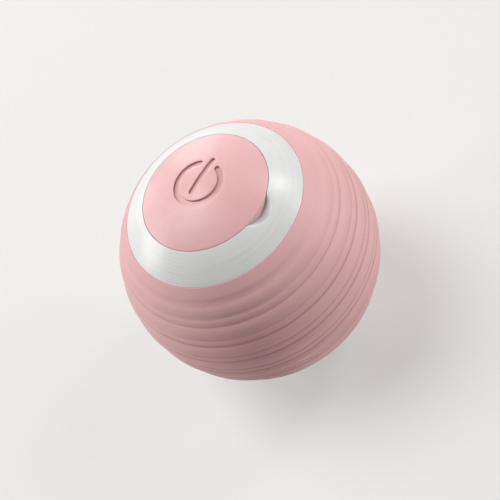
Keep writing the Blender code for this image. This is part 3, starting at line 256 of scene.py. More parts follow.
def shaded(mesh: bpy.types.Mesh, sharp: float) -> None:
    """Shade a mesh smooth, with its edges over an angle crisp."""
    mesh.shade_smooth()
    mesh.set_sharp_from_angle(angle=math.radians(sharp))


def placed(name: str, data: bpy.types.ID) -> Piece:
    """Put a new object in the scene.

    Args:
        name: The object's name.
        data: Its mesh, camera or lamp.

    Returns:
        The object.
    """
    item = bpy.data.objects.new(name, data)
    bpy.context.scene.collection.objects.link(item)
    return item


def piece_of(form: Form, name: str, sharp: float = SHARP_EDGE) -> Piece:
    """Make an object of a form, moved from the ball's centre to its place in the frame.

    Args:
        form: The finished form.
        name: The piece's name.
        sharp: The angle over which an edge stays crisp.

    Returns:
        The new object.
    """
    for vert in form.verts:
        vert.co = (vert.co.x * MM, vert.co.y * MM, (vert.co.z + CENTRE_HEIGHT) * MM)
    bmesh.ops.recalc_face_normals(form, faces=form.faces[:])
    mesh = bpy.data.meshes.new(name)
    form.to_mesh(mesh)
    form.free()
    shaded(mesh, sharp)
    return placed(name, mesh)


def circles(distance: float, angles: tuple[float, ...], radius: float) -> list[Profile]:
    """Return circles seen from above, at a distance from the roll axis and at angles round it."""
    return [bend(polar(distance, angle), radius, 0, 360, 48)[:-1] for angle in angles]


def round_slot(middle_y: float, reach: float, radius: float) -> Profile:
    """Return a slot seen from above, whose round ends have their middles at a reach along X."""
    return bend((reach, middle_y), radius, -90, 90, 16) + bend((-reach, middle_y), radius, 90, 270, 16)


@dataclass(frozen=True)
class Bars:
    """Upright bars of one height, or holes of that shape, by their outlines seen from above."""

    outlines: list[Profile]
    low: float
    high: float

    def add_to(self, form: Form) -> None:
        """Add the bars to a form.

        Args:
            form: The form that takes them.
        """
        for outline in self.outlines:
            ends = [[form.verts.new((x, y, z)) for x, y in outline] for z in (self.low, self.high)]
            skin(form, ends)
            for end in ends:
                form.faces.new(end)


def combined(piece: Piece, shapes: tuple[Bars, ...], operation: str) -> None:
    """Join bars to a piece or cut them out of it, and take out the slivers that this leaves.

    Args:
        piece: The piece that changes.
        shapes: What is joined or cut away.
        operation: UNION or DIFFERENCE.
    """
    form = bmesh.new()
    for shape in shapes:
        shape.add_to(form)
    other = piece_of(form, operation.lower())
    change = piece.modifiers.new("change", "BOOLEAN")
    change.operation = operation
    change.solver = "EXACT"
    change.object = other
    settled = piece.evaluated_get(bpy.context.evaluated_depsgraph_get())
    mesh = bpy.data.meshes.new_from_object(settled)
    piece.modifiers.remove(change)
    spent = (piece.data, other.data)
    piece.data = mesh
    bpy.data.objects.remove(other)
    for old in spent:
        bpy.data.meshes.remove(old)
    form = bmesh.new()
    form.from_mesh(mesh)
    bmesh.ops.remove_doubles(form, verts=form.verts[:], dist=SLIVER)
    bmesh.ops.dissolve_degenerate(form, dist=SLIVER, edges=form.edges[:])
    form.to_mesh(mesh)
    form.free()
    shaded(mesh, SHARP_EDGE)


class Nodes:
    """The nodes of a material or of the room while they are being written."""

    def __init__(self, tree: bpy.types.NodeTree) -> None:
        """Take the tree that the nodes go in."""
        self.nodes, self.links = tree.nodes, tree.links

    def give(self, socket: Socket, source: object) -> None:
        """Feed an input.

        Args:
            socket: The input.
            source: The socket that it is linked to, its value, or None to leave it.
        """
        if isinstance(source, Socket):
            self.links.new(source, socket)
        elif source is not None:
            socket.default_value = source

    def put(self, kind: str, *sources: object, **named: object) -> bpy.types.Node:
        """Add a node.

        Args:
            kind: The node's type, without the words that all types start with.
            sources: What feeds its first inputs, in order.
            named: What feeds other inputs, and the node's own settings.

        Returns:
            The new node.
        """
        node = self.nodes.new(f"ShaderNode{kind}")
        for name, value in named.items():
            if name in node.inputs:
                self.give(node.inputs[name], value)
            else:
                setattr(node, name, value)
        for socket, source in zip(node.inputs, sources):
            self.give(socket, source)
        return node

    def maths(self, operation: str, *sources: Socket | float, clamp: bool = False) -> Socket:
        """Return the result of a sum on sockets or values."""
        return self.put("Math", *sources, operation=operation, use_clamp=clamp).outputs[0]

    def seen(self) -> Socket:
        """Mark what the camera, a reflection or a clear part sees directly.

        Returns:
            1 for such light, and 0 for the light that falls on the object.
        """
        path = self.put("LightPath").outputs
        mirrored = self.maths("MAXIMUM", path["Is Glossy Ray"], path["Is Transmission Ray"])
        return self.maths("MAXIMUM", path["Is Camera Ray"], mirrored)


@dataclass
class Finish(Nodes):
    """A finish and its material: the plain looks first, then the detail that each kind writes."""

    name: str
    colour: Colour
    roughness: float

    def __post_init__(self) -> None:
        """Start the material and write its detail."""
        self.material = bpy.data.materials.new(self.name)
        self.material.use_nodes = True
        self.material.diffuse_color = self.colour
        super().__init__(self.material.node_tree)
        self.surface({"Base Color": self.colour, "Roughness": self.roughness})
        self.write()

    def write(self) -> None:
        """Write the detail, as each kind of finish does in its own way."""
        raise NotImplementedError

    def surface(self, sources: dict[str, object]) -> None:
        """Feed the shader's own sockets, by name."""
        for name, source in sources.items():
            self.give(self.nodes["Principled BSDF"].inputs[name], source)

    def from_centre(self) -> Socket:
        """Return the place on the ball in millimetres from its centre."""
        moved = self.put("VectorMath", self.put("TexCoord").outputs["Object"], CENTRE, operation="SUBTRACT")
        return self.put("VectorMath", moved.outputs[0], operation="SCALE", Scale=1 / MM).outputs[0]

    def length(self, place: Socket) -> Socket:
        """Return a place's distance from the origin."""
        return self.put("VectorMath", place, operation="LENGTH").outputs[1]

    def noise(self, place: Socket, scale: float, detail: float = 3.0) -> Socket:
        """Return a soft random height, 0 to 1, at a scale per unit of the place."""
        return self.put("TexNoise", place, Scale=scale, Detail=detail).outputs[0]

    def rings(self, place: Socket, scale: float) -> Socket:
        """Make fine random rings round the roll axis, as turning and moulding leave them.

        Args:
            place: The place from the ball's centre.
            scale: How many marks there are in a radian from the cap to the base.

        Returns:
            A soft random height, 0 to 1.
        """
        parts = self.put("SeparateXYZ", place).outputs
        angle = self.maths("ARCCOSINE", self.maths("DIVIDE", parts[2], self.length(place)))
        drift_x, drift_y = (self.maths("MULTIPLY", part, 0.06) for part in parts[:2])
        marks = self.put("CombineXYZ", self.maths("MULTIPLY", angle, scale), drift_x, drift_y)
        return self.noise(marks.outputs[0], scale=1.0, detail=4.0)

    def between(self, value: Socket, low: float, high: float, start: float = 0.0, end: float = 1.0) -> Socket:
        """Return start where a value is low, end where it is high, and a smooth step between them."""
        sources = (value, low, high, start, end)
        return self.put("MapRange", *sources, interpolation_type="SMOOTHSTEP").outputs[0]

    def varied(self, share: Socket, noise: Socket, amount: float) -> Socket:
        """Return a share with some of a noise added, held between 0 and 1."""
        return self.maths("MULTIPLY_ADD", self.maths("SUBTRACT", noise, 0.5), amount, share, clamp=True)

    def mixed(self, share: Socket, first: Colour | Socket, second: Colour | Socket) -> Socket:
        """Return a mix of two colours, with the second colour's share."""
        return self.put("Mix", share, *[None] * 5, first, second, data_type="RGBA").outputs[2]

    def bump(self, height: Socket, depth: float) -> None:
        """Give the surface a fine relief of a depth in millimetres."""
        relief = self.put("Bump", Strength=1.0, Distance=depth * MM, Height=height)
        self.surface({"Normal": relief.outputs[0]})


@dataclass
class SiliconeFinish(Finish):
    """Satin pink silicone, with painted shade in its valleys, and marked with fine rings by its mould."""

    name: str = "pink silicone"
    colour: Colour = tint(240, 186, 188)
    roughness: float = 0.56
    # The painted shade that darkens the valleys
    valley_shade: Colour = tint(210, 150, 153)
    valley_radius: float = 21.25
    crest_radius: float = 21.33
    ring_scale: float = 150.0

    def write(self) -> None:
        """Write the rings, and the painted shade that darkens the valleys."""
        place = self.from_centre()
        rings = self.rings(place, self.ring_scale)
        # Painted shade: the colour darkens towards the valleys, varied by a soft noise and by the mould's
        # rings
        rise = self.between(self.length(place), self.valley_radius, self.crest_radius)
        painted_valley_shade = self.varied(rise, self.noise(place, scale=0.35), amount=0.22)
        shade_and_streaks = self.varied(painted_valley_shade, rings, amount=0.25)
        grain = self.noise(place, scale=7.0, detail=2.0)
        self.bump(self.maths("MULTIPLY_ADD", grain, 0.25, rings), depth=0.02)
        self.surface(
            {
                "Base Color": self.mixed(shade_and_streaks, self.valley_shade, self.colour),
                "Roughness": self.between(rings, 0.3, 0.7, start=0.5, end=0.62),
                "Subsurface Weight": 0.12,
                "Subsurface Scale": 0.0008,
                "Subsurface Radius": (1.0, 0.45, 0.4),
                "Sheen Weight": 0.55,
                "Sheen Roughness": 0.4,
                "Sheen Tint": tint(255, 214, 214),
            }
        )


@dataclass
class MouldedFinish(Finish):
    """Moulded plastic with a turned sheen, faint flow marks, and hollows that are duller and take painted
    shade, by default the cap's.
    """

    name: str = "pink cap"
    colour: Colour = tint(240, 185, 187)
    roughness: float = 0.38
    shade: Colour = tint(226, 169, 171)
    shade_share: float = 0.3
    coat: float = 0.2
    coat_roughness: float = 0.33
    sheen: float = 1.0
    flow: float = 0.0
    # The painted shade in engraved and scooped hollows
    hollow_shade: Colour = tint(160, 111, 113)
    hollow_duller: float = 0.2
    hollow_middle: Triple = (0.0, 0.0, 20.4)
    hollow_reach: Place = (6.4, 6.0)
    hollow_depths: Place = (21.3, 21.18)
    floor_depths: Place = (21.1, 21.0)

    def write(self) -> None:
        """Write the flow marks, the sheen, and the hollows with their painted shade."""
        place = self.from_centre()
        flow = self.rings(place, scale=90.0) if self.flow else self.noise(place, scale=0.6, detail=4.0)
        cloud = self.between(self.noise(place, scale=0.18, detail=2.0), 0.25, 0.75)
        share = self.maths("MULTIPLY", cloud, self.between(flow, 0.35, 0.7))
        colour = self.mixed(self.maths("MULTIPLY", share, self.shade_share), self.colour, self.shade)
        # Painted shade: the colour darkens in the hollows, by depth below the face and nearness to the
        # hollow's middle
        hollow_shade = self.in_hollow_shade(place)
        rough = self.between(flow, 0.3, 0.7, self.roughness - 0.03, self.roughness + 0.05)
        grain = self.noise(place, scale=9.0, detail=2.0)
        self.bump(self.maths("MULTIPLY_ADD", flow, self.flow, grain), depth=0.005)
        self.surface(
            {
                "Base Color": self.mixed(hollow_shade, colour, self.hollow_shade),
                "Roughness": self.maths("MULTIPLY_ADD", hollow_shade, self.hollow_duller, rough),
                "Subsurface Weight": 0.06,
                "Subsurface Scale": 0.0006,
                "Coat Weight": self.coat,
                "Coat Roughness": self.coat_roughness,
                "Sheen Weight": self.sheen,
                "Sheen Roughness": 0.4,
                "Anisotropic": 0.75,
                "Anisotropic Rotation": 0.25,
                "Tangent": self.put("Tangent", direction_type="RADIAL", axis="Z").outputs[0],
            }
        )

    def in_hollow_shade(self, place: Socket) -> Socket:
        """Find how far a place is in a hollow of the face, where the plastic takes painted shade and looks
        duller.

        Args:
            place: The place from the ball's centre.

        Returns:
            The share of the painted hollow shade.
        """
        length = self.length(place)
        deep = self.between(length, *self.hollow_depths)
        floor = self.between(length, *self.floor_depths)
        away = self.put("VectorMath", place, self.hollow_middle, operation="DISTANCE").outputs[1]
        near = self.between(away, *self.hollow_reach)
        return self.maths("MULTIPLY", self.maths("SUBTRACT", deep, floor), near)


@dataclass
class TexturedFinish(Finish):
    """Plain moulding with an even spark-etched grain, for parts that stay inside."""

    shade: Colour
    grain: Triple = (6.0, 6.0, 6.0)
    depth: float = 0.02
    metallic: float = 0.0
    cloud_scale: float = 0.2
    cloud_limits: Place = (0.35, 0.7)
    smoothest: float = -0.06
    roughest: float = 0.1

    def write(self) -> None:
        """Write the clouds of the second shade, and the grain."""
        place = self.from_centre()
        cloud = self.between(self.noise(place, self.cloud_scale), *self.cloud_limits)
        stretched = self.put("VectorMath", place, self.grain, operation="MULTIPLY").outputs[0]
        grain = self.noise(stretched, scale=1.0, detail=4.0)
        limits = (self.roughness + self.smoothest, self.roughness + self.roughest)
        rough = self.between(grain, 0.2, 0.8, *limits)
        colour = self.mixed(cloud, self.colour, self.shade)
        self.surface({"Base Color": colour, "Roughness": rough, "Metallic": self.metallic})
        self.bump(grain, self.depth)


@dataclass
class MetalFinish(TexturedFinish):
    """Bare metal with fine marks along one way."""

    grain: Triple = (0.6, 0.6, 14.0)
    depth: float = 0.008
    metallic: float = 1.0
    cloud_scale: float = 0.3
    cloud_limits: Place = (0.3, 0.75)
    smoothest: float = -0.08
    roughest: float = 0.14


@dataclass
class BoardFinish(Finish):
    """Green solder mask over copper tracks that show as lighter lines."""

    name: str = "green solder mask"
    colour: Colour = tint(20, 92, 52)
    roughness: float = 0.32
    track: Colour = tint(46, 132, 74)

    def write(self) -> None:
        """Write the tracks."""
        place = self.from_centre()
        layout = {"Scale": 0.55, "Mortar Size": 0.035, "Mortar Smooth": 0.1}
        lanes = self.put("TexBrick", place, **layout).outputs["Fac"]
        share = self.maths("MULTIPLY_ADD", self.noise(place, scale=5.0), 0.15, lanes, clamp=True)
        self.surface({"Base Color": self.mixed(share, self.colour, self.track)})
        self.bump(lanes, depth=0.03)


@dataclass
class FoilFinish(Finish):
    """The cell's silver foil pouch, softly creased."""

    name: str = "foil pouch"
    colour: Colour = tint(196, 198, 202)
    roughness: float = 0.34
    shade: Colour = tint(150, 152, 158)

    def write(self) -> None:
        """Write the creases."""
        place = self.from_centre()
        crease = self.put("TexVoronoi", place, feature="DISTANCE_TO_EDGE", Scale=0.7)
        soft = self.noise(place, scale=1.1, detail=4.0)
        rough = self.between(soft, 0.2, 0.8, self.roughness - 0.08, self.roughness + 0.1)
        colour = self.mixed(self.between(soft, 0.3, 0.7), self.colour, self.shade)
        self.surface({"Base Color": colour, "Roughness": rough, "Metallic": 0.85})
        self.bump(self.maths("MULTIPLY_ADD", soft, 0.8, crease.outputs[0]), depth=0.12)


@dataclass
class ClearFinish(Finish):
    """Clear plastic with a faint haze."""

    name: str = "clear plastic"
    colour: Colour = tint(240, 246, 248)
    roughness: float = 0.12

    def write(self) -> None:
        """Write the haze."""
        haze = self.noise(self.from_centre(), scale=1.6)
        rough = self.between(haze, 0.3, 0.7, self.roughness - 0.06, self.roughness + 0.08)
        self.bump(haze, depth=0.02)
        self.surface({"Roughness": rough, "Transmission Weight": 0.9, "IOR": 1.49})


@dataclass
class FloorFinish(Finish):
    """Plain pale paper, which the camera sees lighter and which fades into the room far from the ball."""

    name: str = "pale floor"
    colour: Colour = tint(190, 189, 187)
    roughness: float = 0.9
    seen_level: float = 0.38
    fade: Place = (0.12, 0.8)

    def write(self) -> None:
        """Write the light that the camera sees, and the fade."""
        away = self.length(self.put("TexCoord").outputs["Object"])
        self.surface(
            {
                "Specular IOR Level": 0.1,
                "Emission Color": tint(252, 251, 248),
                "Emission Strength": self.maths("MULTIPLY", self.seen(), self.seen_level),
                "Alpha": self.between(away, *self.fade, 1.0, 0.0),
            }
        )


def finishes() -> dict[Slot, Finish]:
    """Make the finish of each slot.

    Returns:
        The finishes by slot.
    """
    return {
        Slot.SLEEVE: SiliconeFinish(),
        Slot.CAP: MouldedFinish(),
        Slot.SHELL: MouldedFinish(
            name="white shell",
            colour=tint(235, 235, 234),
            roughness=0.34,
            shade=tint(190, 193, 194),
            coat=0.5,
            coat_roughness=0.25,
            sheen=0.0,
            flow=0.6,
            # Painted grey shade in the finger scoop, darker where it is deeper beside the cap's edge
            hollow_shade=tint(188, 196, 192),
            hollow_middle=(10.6, 0.0, 18.2),
            hollow_reach=(4.0, 2.4),
            hollow_depths=(21.41, 21.1),
            floor_depths=(10.0, 5.0),
        ),
        Slot.INNER: TexturedFinish("off-white moulding", tint(226, 225, 217), 0.5, tint(220, 218, 208)),
        Slot.STEEL: MetalFinish("plain steel", tint(190, 191, 194), 0.32, tint(178, 179, 183)),
        Slot.BRASS: MetalFinish(
            "turned brass", tint(214, 178, 104), 0.3, tint(202, 165, 92), grain=(0.5, 0.5, 18.0)
        ),
        Slot.BOARD: BoardFinish(),
        Slot.BLACK: TexturedFinish("black moulding", tint(34, 34, 36), 0.48, tint(24, 24, 26)),
        Slot.BATTERY: FoilFinish(),
        Slot.CLEAR: ClearFinish(),
        Slot.RED_LEAD: TexturedFinish(
            "red insulation", tint(196, 40, 38), 0.42, tint(176, 28, 28), grain=(3.0, 3.0, 3.0), depth=0.01
        ),
    }


class Bench:
    """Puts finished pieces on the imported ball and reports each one."""

    def __init__(self) -> None:
        """Make every finish, and start with no node replaced."""
        self.materials = {slot: finish.material for slot, finish in finishes().items()}
        self.replaced: set[str] = set()

    def settle(self, piece: Piece, body: Body, slot: Slot, node: str) -> None:
        """Finish a new piece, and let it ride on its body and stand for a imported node.

        Args:
            piece: The new piece, in its place.
            body: The body that it moves with.
            slot: The slot that it takes its finish from.
            node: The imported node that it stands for.
        """
        piece.data.materials.clear()
        piece.data.materials.append(self.materials[slot])
        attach(piece, body.value)
        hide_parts(node)
        self.replaced.add(node)
        LOG.info("%s rides on %s in %s and replaces %s", piece.name, body.value, slot.value, node)

    def dress(self, node: str, slot: Slot, edge: float) -> None:
        """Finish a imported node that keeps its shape.

        Args:
            node: The node's name.
            slot: The slot that its finish comes from.
            edge: The width of its eased edges, or 0 for none.
        """
        piece = frame["nodes"][node]
        for place in piece.material_slots:
            place.material = self.materials[slot]
        if edge:
            ease = piece.modifiers.new("eased edges", "BEVEL")
            ease.width = edge * MM
            ease.segments = 2
            ease.angle_limit = math.radians(40)
        LOG.info("%s keeps its shape in %s", node, slot.value)


@dataclass
class Sleeve:
    """The silicone sleeve: a plain collar, wide and narrow rounded bands by turns, and a far collar."""

    radius: float = 21.476
    inner_radius: float = 20.0
    edge_angle: float = 42.99
    collar_end: float = 49.6
    collar_fall: float = 0.7
    shift: float = 0.7
    wide_bands: int = 8
    wide_share: float = 0.65
    wide_rise: float = 0.23
    narrow_rise: float = 0.12
    shallow: float = 0.025
    end_depth: float = 0.95
    middle_depth: float = 1.1
    middle_reach: float = 33.0
    middle_blend: float = 21.0
    softness: float = 0.4
    collar_blend: float = 3.0
    collar_softness: float = 1.1
    easing: float = 0.06
    collar_steps: int = 8
    fall_steps: int = 6
    wide_steps: int = 14
    narrow_steps: int = 8

    def widths(self) -> Place:
        """Return the widths of a wide and a narrow band."""
        pair = (180 - 2 * self.collar_end) / (self.wide_bands - 1 + self.wide_share)
        return pair * self.wide_share, pair * (1 - self.wide_share)

    def ends(self) -> Place:
        """Return the angles at which the bands start and end."""
        return self.collar_end + self.shift, 180 - self.collar_end + self.shift

    def relief(self, angle: float) -> float:
        """Find how far the sleeve stands over its deep valleys, one of which lies before each wide band.

        Args:
            angle: The angle from the roll axis.

        Returns:
            The height.
        """
        wide, narrow = self.widths()
        start, end = self.ends()
        if not start <= angle <= end:
            over = max(start - angle, angle - end)
            share = max(1 - over / (narrow * self.collar_fall), 0.0)
            return self.wide_rise * (1 - share * share)
        index, place = divmod(angle - start, wide + narrow)
        if place < wide:
            lift = 0.0 if index > self.wide_bands - 2 else self.shallow * place / wide
            return lift + (self.wide_rise - lift) * (1 - (2 * place / wide - 1) ** 2)
        share = (place - wide) / narrow
        return self.shallow * (1 - share) + self.narrow_rise * (1 - (2 * share - 1) ** 2)

    def valley_scale(self, angle: float) -> float:
        """Return how deep the valleys are at an angle: deeper round the middle than beside a collar."""
        share = smooth((self.middle_reach - abs(angle - 90.0)) / self.middle_blend)
        return self.end_depth + (self.middle_depth - self.end_depth) * share

    def point(self, angle: float) -> Place:
        """Find the outline's point, with the valleys softened as rubber leaves the mould.

        Args:
            angle: The angle from the roll axis.

        Returns:
            The point as (distance from the axis, height above the centre).
        """
        start, end = self.ends()
        collar_distance = min(abs(angle - start), abs(angle - end))
        near_collar = max(1 - collar_distance / self.collar_blend, 0.0)
        reach = self.softness + near_collar * self.collar_softness
        shifts = (-1.0, -0.5, 0.0, 0.5, 1.0)
        height = sum(self.relief(angle + reach * shift) for shift in shifts) / len(shifts)
        return polar(self.radius - (self.wide_rise - height) * self.valley_scale(angle), 90 - angle)

    def profile(self) -> Profile:
        """Draw the sleeve's outline.

        Returns:
            The collar, the bands, the far collar and the plain inside.
        """
        wide, narrow = self.widths()
        start, _ = self.ends()
        fall = narrow * self.collar_fall
        ends = [(fall, self.fall_steps)]
        pair = [(wide, self.wide_steps), (narrow, self.narrow_steps)]
        bands = ends + pair * (self.wide_bands - 1) + pair[:1] + ends
        stretches = [(start - fall - self.edge_angle, self.collar_steps), *bands]
        angle = self.edge_angle
        far_edge = 180 - self.edge_angle
        rest = far_edge - angle - sum(width for width, _ in stretches)
        stretches.append((rest, self.collar_steps))
        outline = []
        for width, count in stretches:
            for step in range(count):
                share = 0.5 - 0.5 * math.cos(math.pi * step / count)
                outline.append(self.point(angle + width * share))
            angle += width
        outline.append(self.point(far_edge))
        return eased(outline + arc(self.inner_radius, far_edge, self.edge_angle, 24), self.easing)

    def build(self, bench: Bench) -> None:
        """Make the sleeve and stretch it over the shells."""
        piece = piece_of(turned(self.profile(), segments=192), "banded_sleeve", sharp=60)
        bench.settle(piece, Body.BALL, Slot.SLEEVE, "silicone_sleeve")


@dataclass
class Scoop:
    """The finger scoop at the cap's edge, pressed by an egg-shaped tool that is longer along X."""

    tool_radius: float = 4.69
    tool_stretch: float = 1.96
    middle_x: float = 10.29
    middle_z: float = 22.404
    softness: float = 0.2

    def depth(self, x: float, y: float, height: float) -> float:
        """Find how far the scoop takes the ring's face down.

        Args:
            x: The place along X.
            y: The place along Y.
            height: The face's height there.

        Returns:
            The depth.
        """
        room = self.tool_radius**2 - ((x - self.middle_x) / self.tool_stretch) ** 2 - y * y
        if room <= 0:
            return 0.0
        over = height - (self.middle_z - math.sqrt(room))
        blend = max(self.softness - abs(over), 0.0) / self.softness
        return max(over, 0.0) + blend * blend * self.softness / 4


@dataclass
class ShellHalf:
    """The sizes that both halves of the white shell share."""

    face_radius: float = SHELL_RADIUS
    core_radius: float = CORE_RADIUS
    cavity_radius: float = 18.2
    well_radius: float = 10.29
    edge_angle: float = 42.95
    split: float = 0.15

    def rim_angle(self) -> float:
        """Return the angle of the face's edge at the cap's well."""
        return axis_angle(self.face_radius, self.well_radius)


@dataclass
class UpperShell(ShellHalf):
    """The upper shell: the ring round the cap, the cap's well, its holes, and the posts and bosses."""

    scoop: Scoop = field(default_factory=Scoop)
    scoop_end: float = 14.3
    scoop_rim: float = 10.235
    rim_width: float = 0.09
    rim_fan: float = 0.3
    face_skin: float = 0.9
    edge_slack: float = 0.01
    face_bend: float = 35.0
    floor_top: float = 15.316
    floor_under: float = 14.216
    pocket_radius: float = 3.3
    pocket_outer: float = 4.2
    pocket_floor: float = 13.216
    pocket_under: float = 12.316
    stem_hole: float = 1.8
    lip_side: float = 19.1
    lip_top: float = 1.5
    easing: float = 0.07
    solid: tuple[Bars, ...] = (
        Bars(circles(*BOSSES, radius=1.8), low=7.516, high=sphere_height(CORE_RADIUS, 13.3) - 0.2),
        Bars(circles(*POSTS, radius=1.7), low=0.9, high=sphere_height(CORE_RADIUS, 17.6) - 0.3),
    )
    holes: tuple[Bars, ...] = (
        Bars(circles(*BOSSES, radius=1.1), low=6.0, high=11.216),
        Bars(circles(*POSTS, radius=1.1), low=-0.6, high=4.4),
        Bars([round_slot(-6.3, reach=2.89, radius=1.88)], low=13.5, high=16.4),
        Bars(circles(7.0, (40,), radius=1.4), low=13.5, high=16.4),
    )

    def profile(self) -> Profile:
        """Draw the shell's outline.

        Returns:
            The outline, from the well's rim round to its floor.
        """
        core_end = height_angle(self.core_radius, self.split)
        cavity_start = height_angle(self.cavity_radius, self.lip_top)
        cavity_end = height_angle(self.cavity_radius, self.floor_under)
        return eased(
            [
                *arc(self.face_radius, self.rim_angle(), self.face_bend, 26),
                *arc(self.face_radius, self.face_bend, self.edge_angle, 10)[1:],
                *arc(self.core_radius, self.edge_angle, core_end, 16),
                (self.lip_side, self.split),
                (self.lip_side, self.lip_top),
                *arc(self.cavity_radius, cavity_start, cavity_end, 16),
                (self.pocket_outer, self.floor_under),
                (self.pocket_outer, self.pocket_under),
                (self.stem_hole, self.pocket_under),
                (self.stem_hole, self.pocket_floor),
                (self.pocket_radius, self.pocket_floor),
                (self.pocket_radius, self.floor_top),
                (self.well_radius, self.floor_top),
            ],
            self.easing,
        )

    def scooped(self, form: Form) -> None:
        """Press the finger scoop into the ring's face, and bring its floor close to the cap's wall.

        Args:
            form: The turned shell.
        """
        wall_height = sphere_height(self.face_radius, self.well_radius) - self.floor_top
        for vert in form.verts:
            x, y, z = vert.co
            outside = math.hypot(x, y) - self.well_radius
            if z < self.floor_top or not -self.edge_slack <= outside <= self.scoop_end - self.well_radius:
                continue
            face = sphere_height(self.face_radius, math.hypot(x, y))
            if z < face - self.face_skin and outside > self.edge_slack:
                continue
            depth = self.scoop.depth(x, y, face)
            share = (z - self.floor_top) / wall_height
            vert.co.z -= depth * min(share, 1.0)
            if depth and share > 0.5 and outside < self.rim_width:
                closed = self.scoop_rim + self.rim_fan * outside
                pull = 1 + (closed / math.hypot(x, y) - 1) * min(depth, 1.0)
                vert.co.x, vert.co.y = x * pull, y * pull

    def build(self, bench: Bench) -> None:
        """Make the shell, join its posts and bosses and cut its holes.

        Args:
            bench: The bench that finishes it.
        """
        form = turned(self.profile(), segments=256)
        self.scooped(form)
        piece = piece_of(form, "ring_shell")
        combined(piece, self.solid, "UNION")
        combined(piece, self.holes, "DIFFERENCE")
        bench.settle(piece, Body.BALL, Slot.SHELL, "upper_shell")


@dataclass
class LowerShell(ShellHalf):
    """The lower shell with its locating lip and the recess for the lower cap."""

    lip_wall: float = 0.6
    lip_height: float = 1.2
    floor_face: float = -17.316
    floor_inner: float = -16.016
    snap_hole: float = 2.2
    easing: float = 0.12

    def profile(self) -> Profile:
        """Draw the shell's outline.

        Returns:
            The outline, from the lip down the outside and back up the cavity.
        """
        lip = self.cavity_radius + self.lip_wall
        core_start = height_angle(self.core_radius, -self.split)
        cavity_start = height_angle(self.cavity_radius, self.floor_inner)
        return [
            (lip, self.lip_height),
            (lip, -self.split),
            *arc(self.core_radius, core_start, 180 - self.edge_angle, 16),
            *arc(self.face_radius, 180 - self.edge_angle, 180 - self.rim_angle(), 14),
            (self.well_radius, self.floor_face),
            (self.snap_hole, self.floor_face),
            (self.snap_hole, self.floor_inner),
            *arc(self.cavity_radius, cavity_start, 90, 20),
            (self.cavity_radius, self.lip_height),
        ]

    def build(self, bench: Bench) -> None:
        """Make the shell."""
        piece = piece_of(turned(eased(self.profile(), self.easing), segments=192), "base_shell", sharp=50)
        bench.settle(piece, Body.BALL, Slot.SHELL, "lower_shell")


@dataclass
class DomedCap:
    """The sizes that both pink caps share."""

    face_radius: float = 21.385
    inner_radius: float = 19.9
    cap_radius: float = 10.22

    def rim_angle(self) -> float:
        """Return the angle of the face's edge."""
        return axis_angle(self.face_radius, self.cap_radius)


@dataclass
class LowerCap(DomedCap):
    """The lower cap with the flat that the ball stands on, and its snap."""

    web_height: float = 1.5 - CENTRE_HEIGHT
    skirt_inner: float = 9.02
    skirt_top: float = -17.616
    snap_stem: float = 1.9
    snap_head: float = 2.6
    snap_lead: float = 0.3
    snap_top: float = -14.816
    snap_under: float = -15.716
    easing: float = 0.12

    def profile(self) -> Profile:
        """Draw the cap's outline.

        Returns:
            The outline, from the snap's top round the skirt to the flat.
        """
        web_angle = height_angle(self.inner_radius, self.web_height)
        skirt_angle = 180 - axis_angle(self.inner_radius, self.skirt_inner)
        flat_angle = height_angle(self.face_radius, -CENTRE_HEIGHT)
        return [
            (0.0, self.snap_top),
            (self.snap_head - self.snap_lead, self.snap_top),
            (self.snap_head, self.snap_under),
            (self.snap_stem, self.snap_under),
            (self.snap_stem, self.web_height),
            *arc(self.inner_radius, web_angle, skirt_angle, 8),
            (self.skirt_inner, self.skirt_top),
            (self.cap_radius, self.skirt_top),
            *arc(self.face_radius, 180 - self.rim_angle(), flat_angle, 14),
            (0.0, -CENTRE_HEIGHT),
        ]

    def build(self, bench: Bench) -> None:
        """Make the cap.

        Args:
            bench: The bench that finishes it.
        """
        profile = eased(self.profile(), self.easing, closed=False)
        piece = piece_of(turned(profile, segments=160, closed=False), "base_cap", sharp=50)
        bench.settle(piece, Body.BALL, Slot.CAP, "lower_cap")


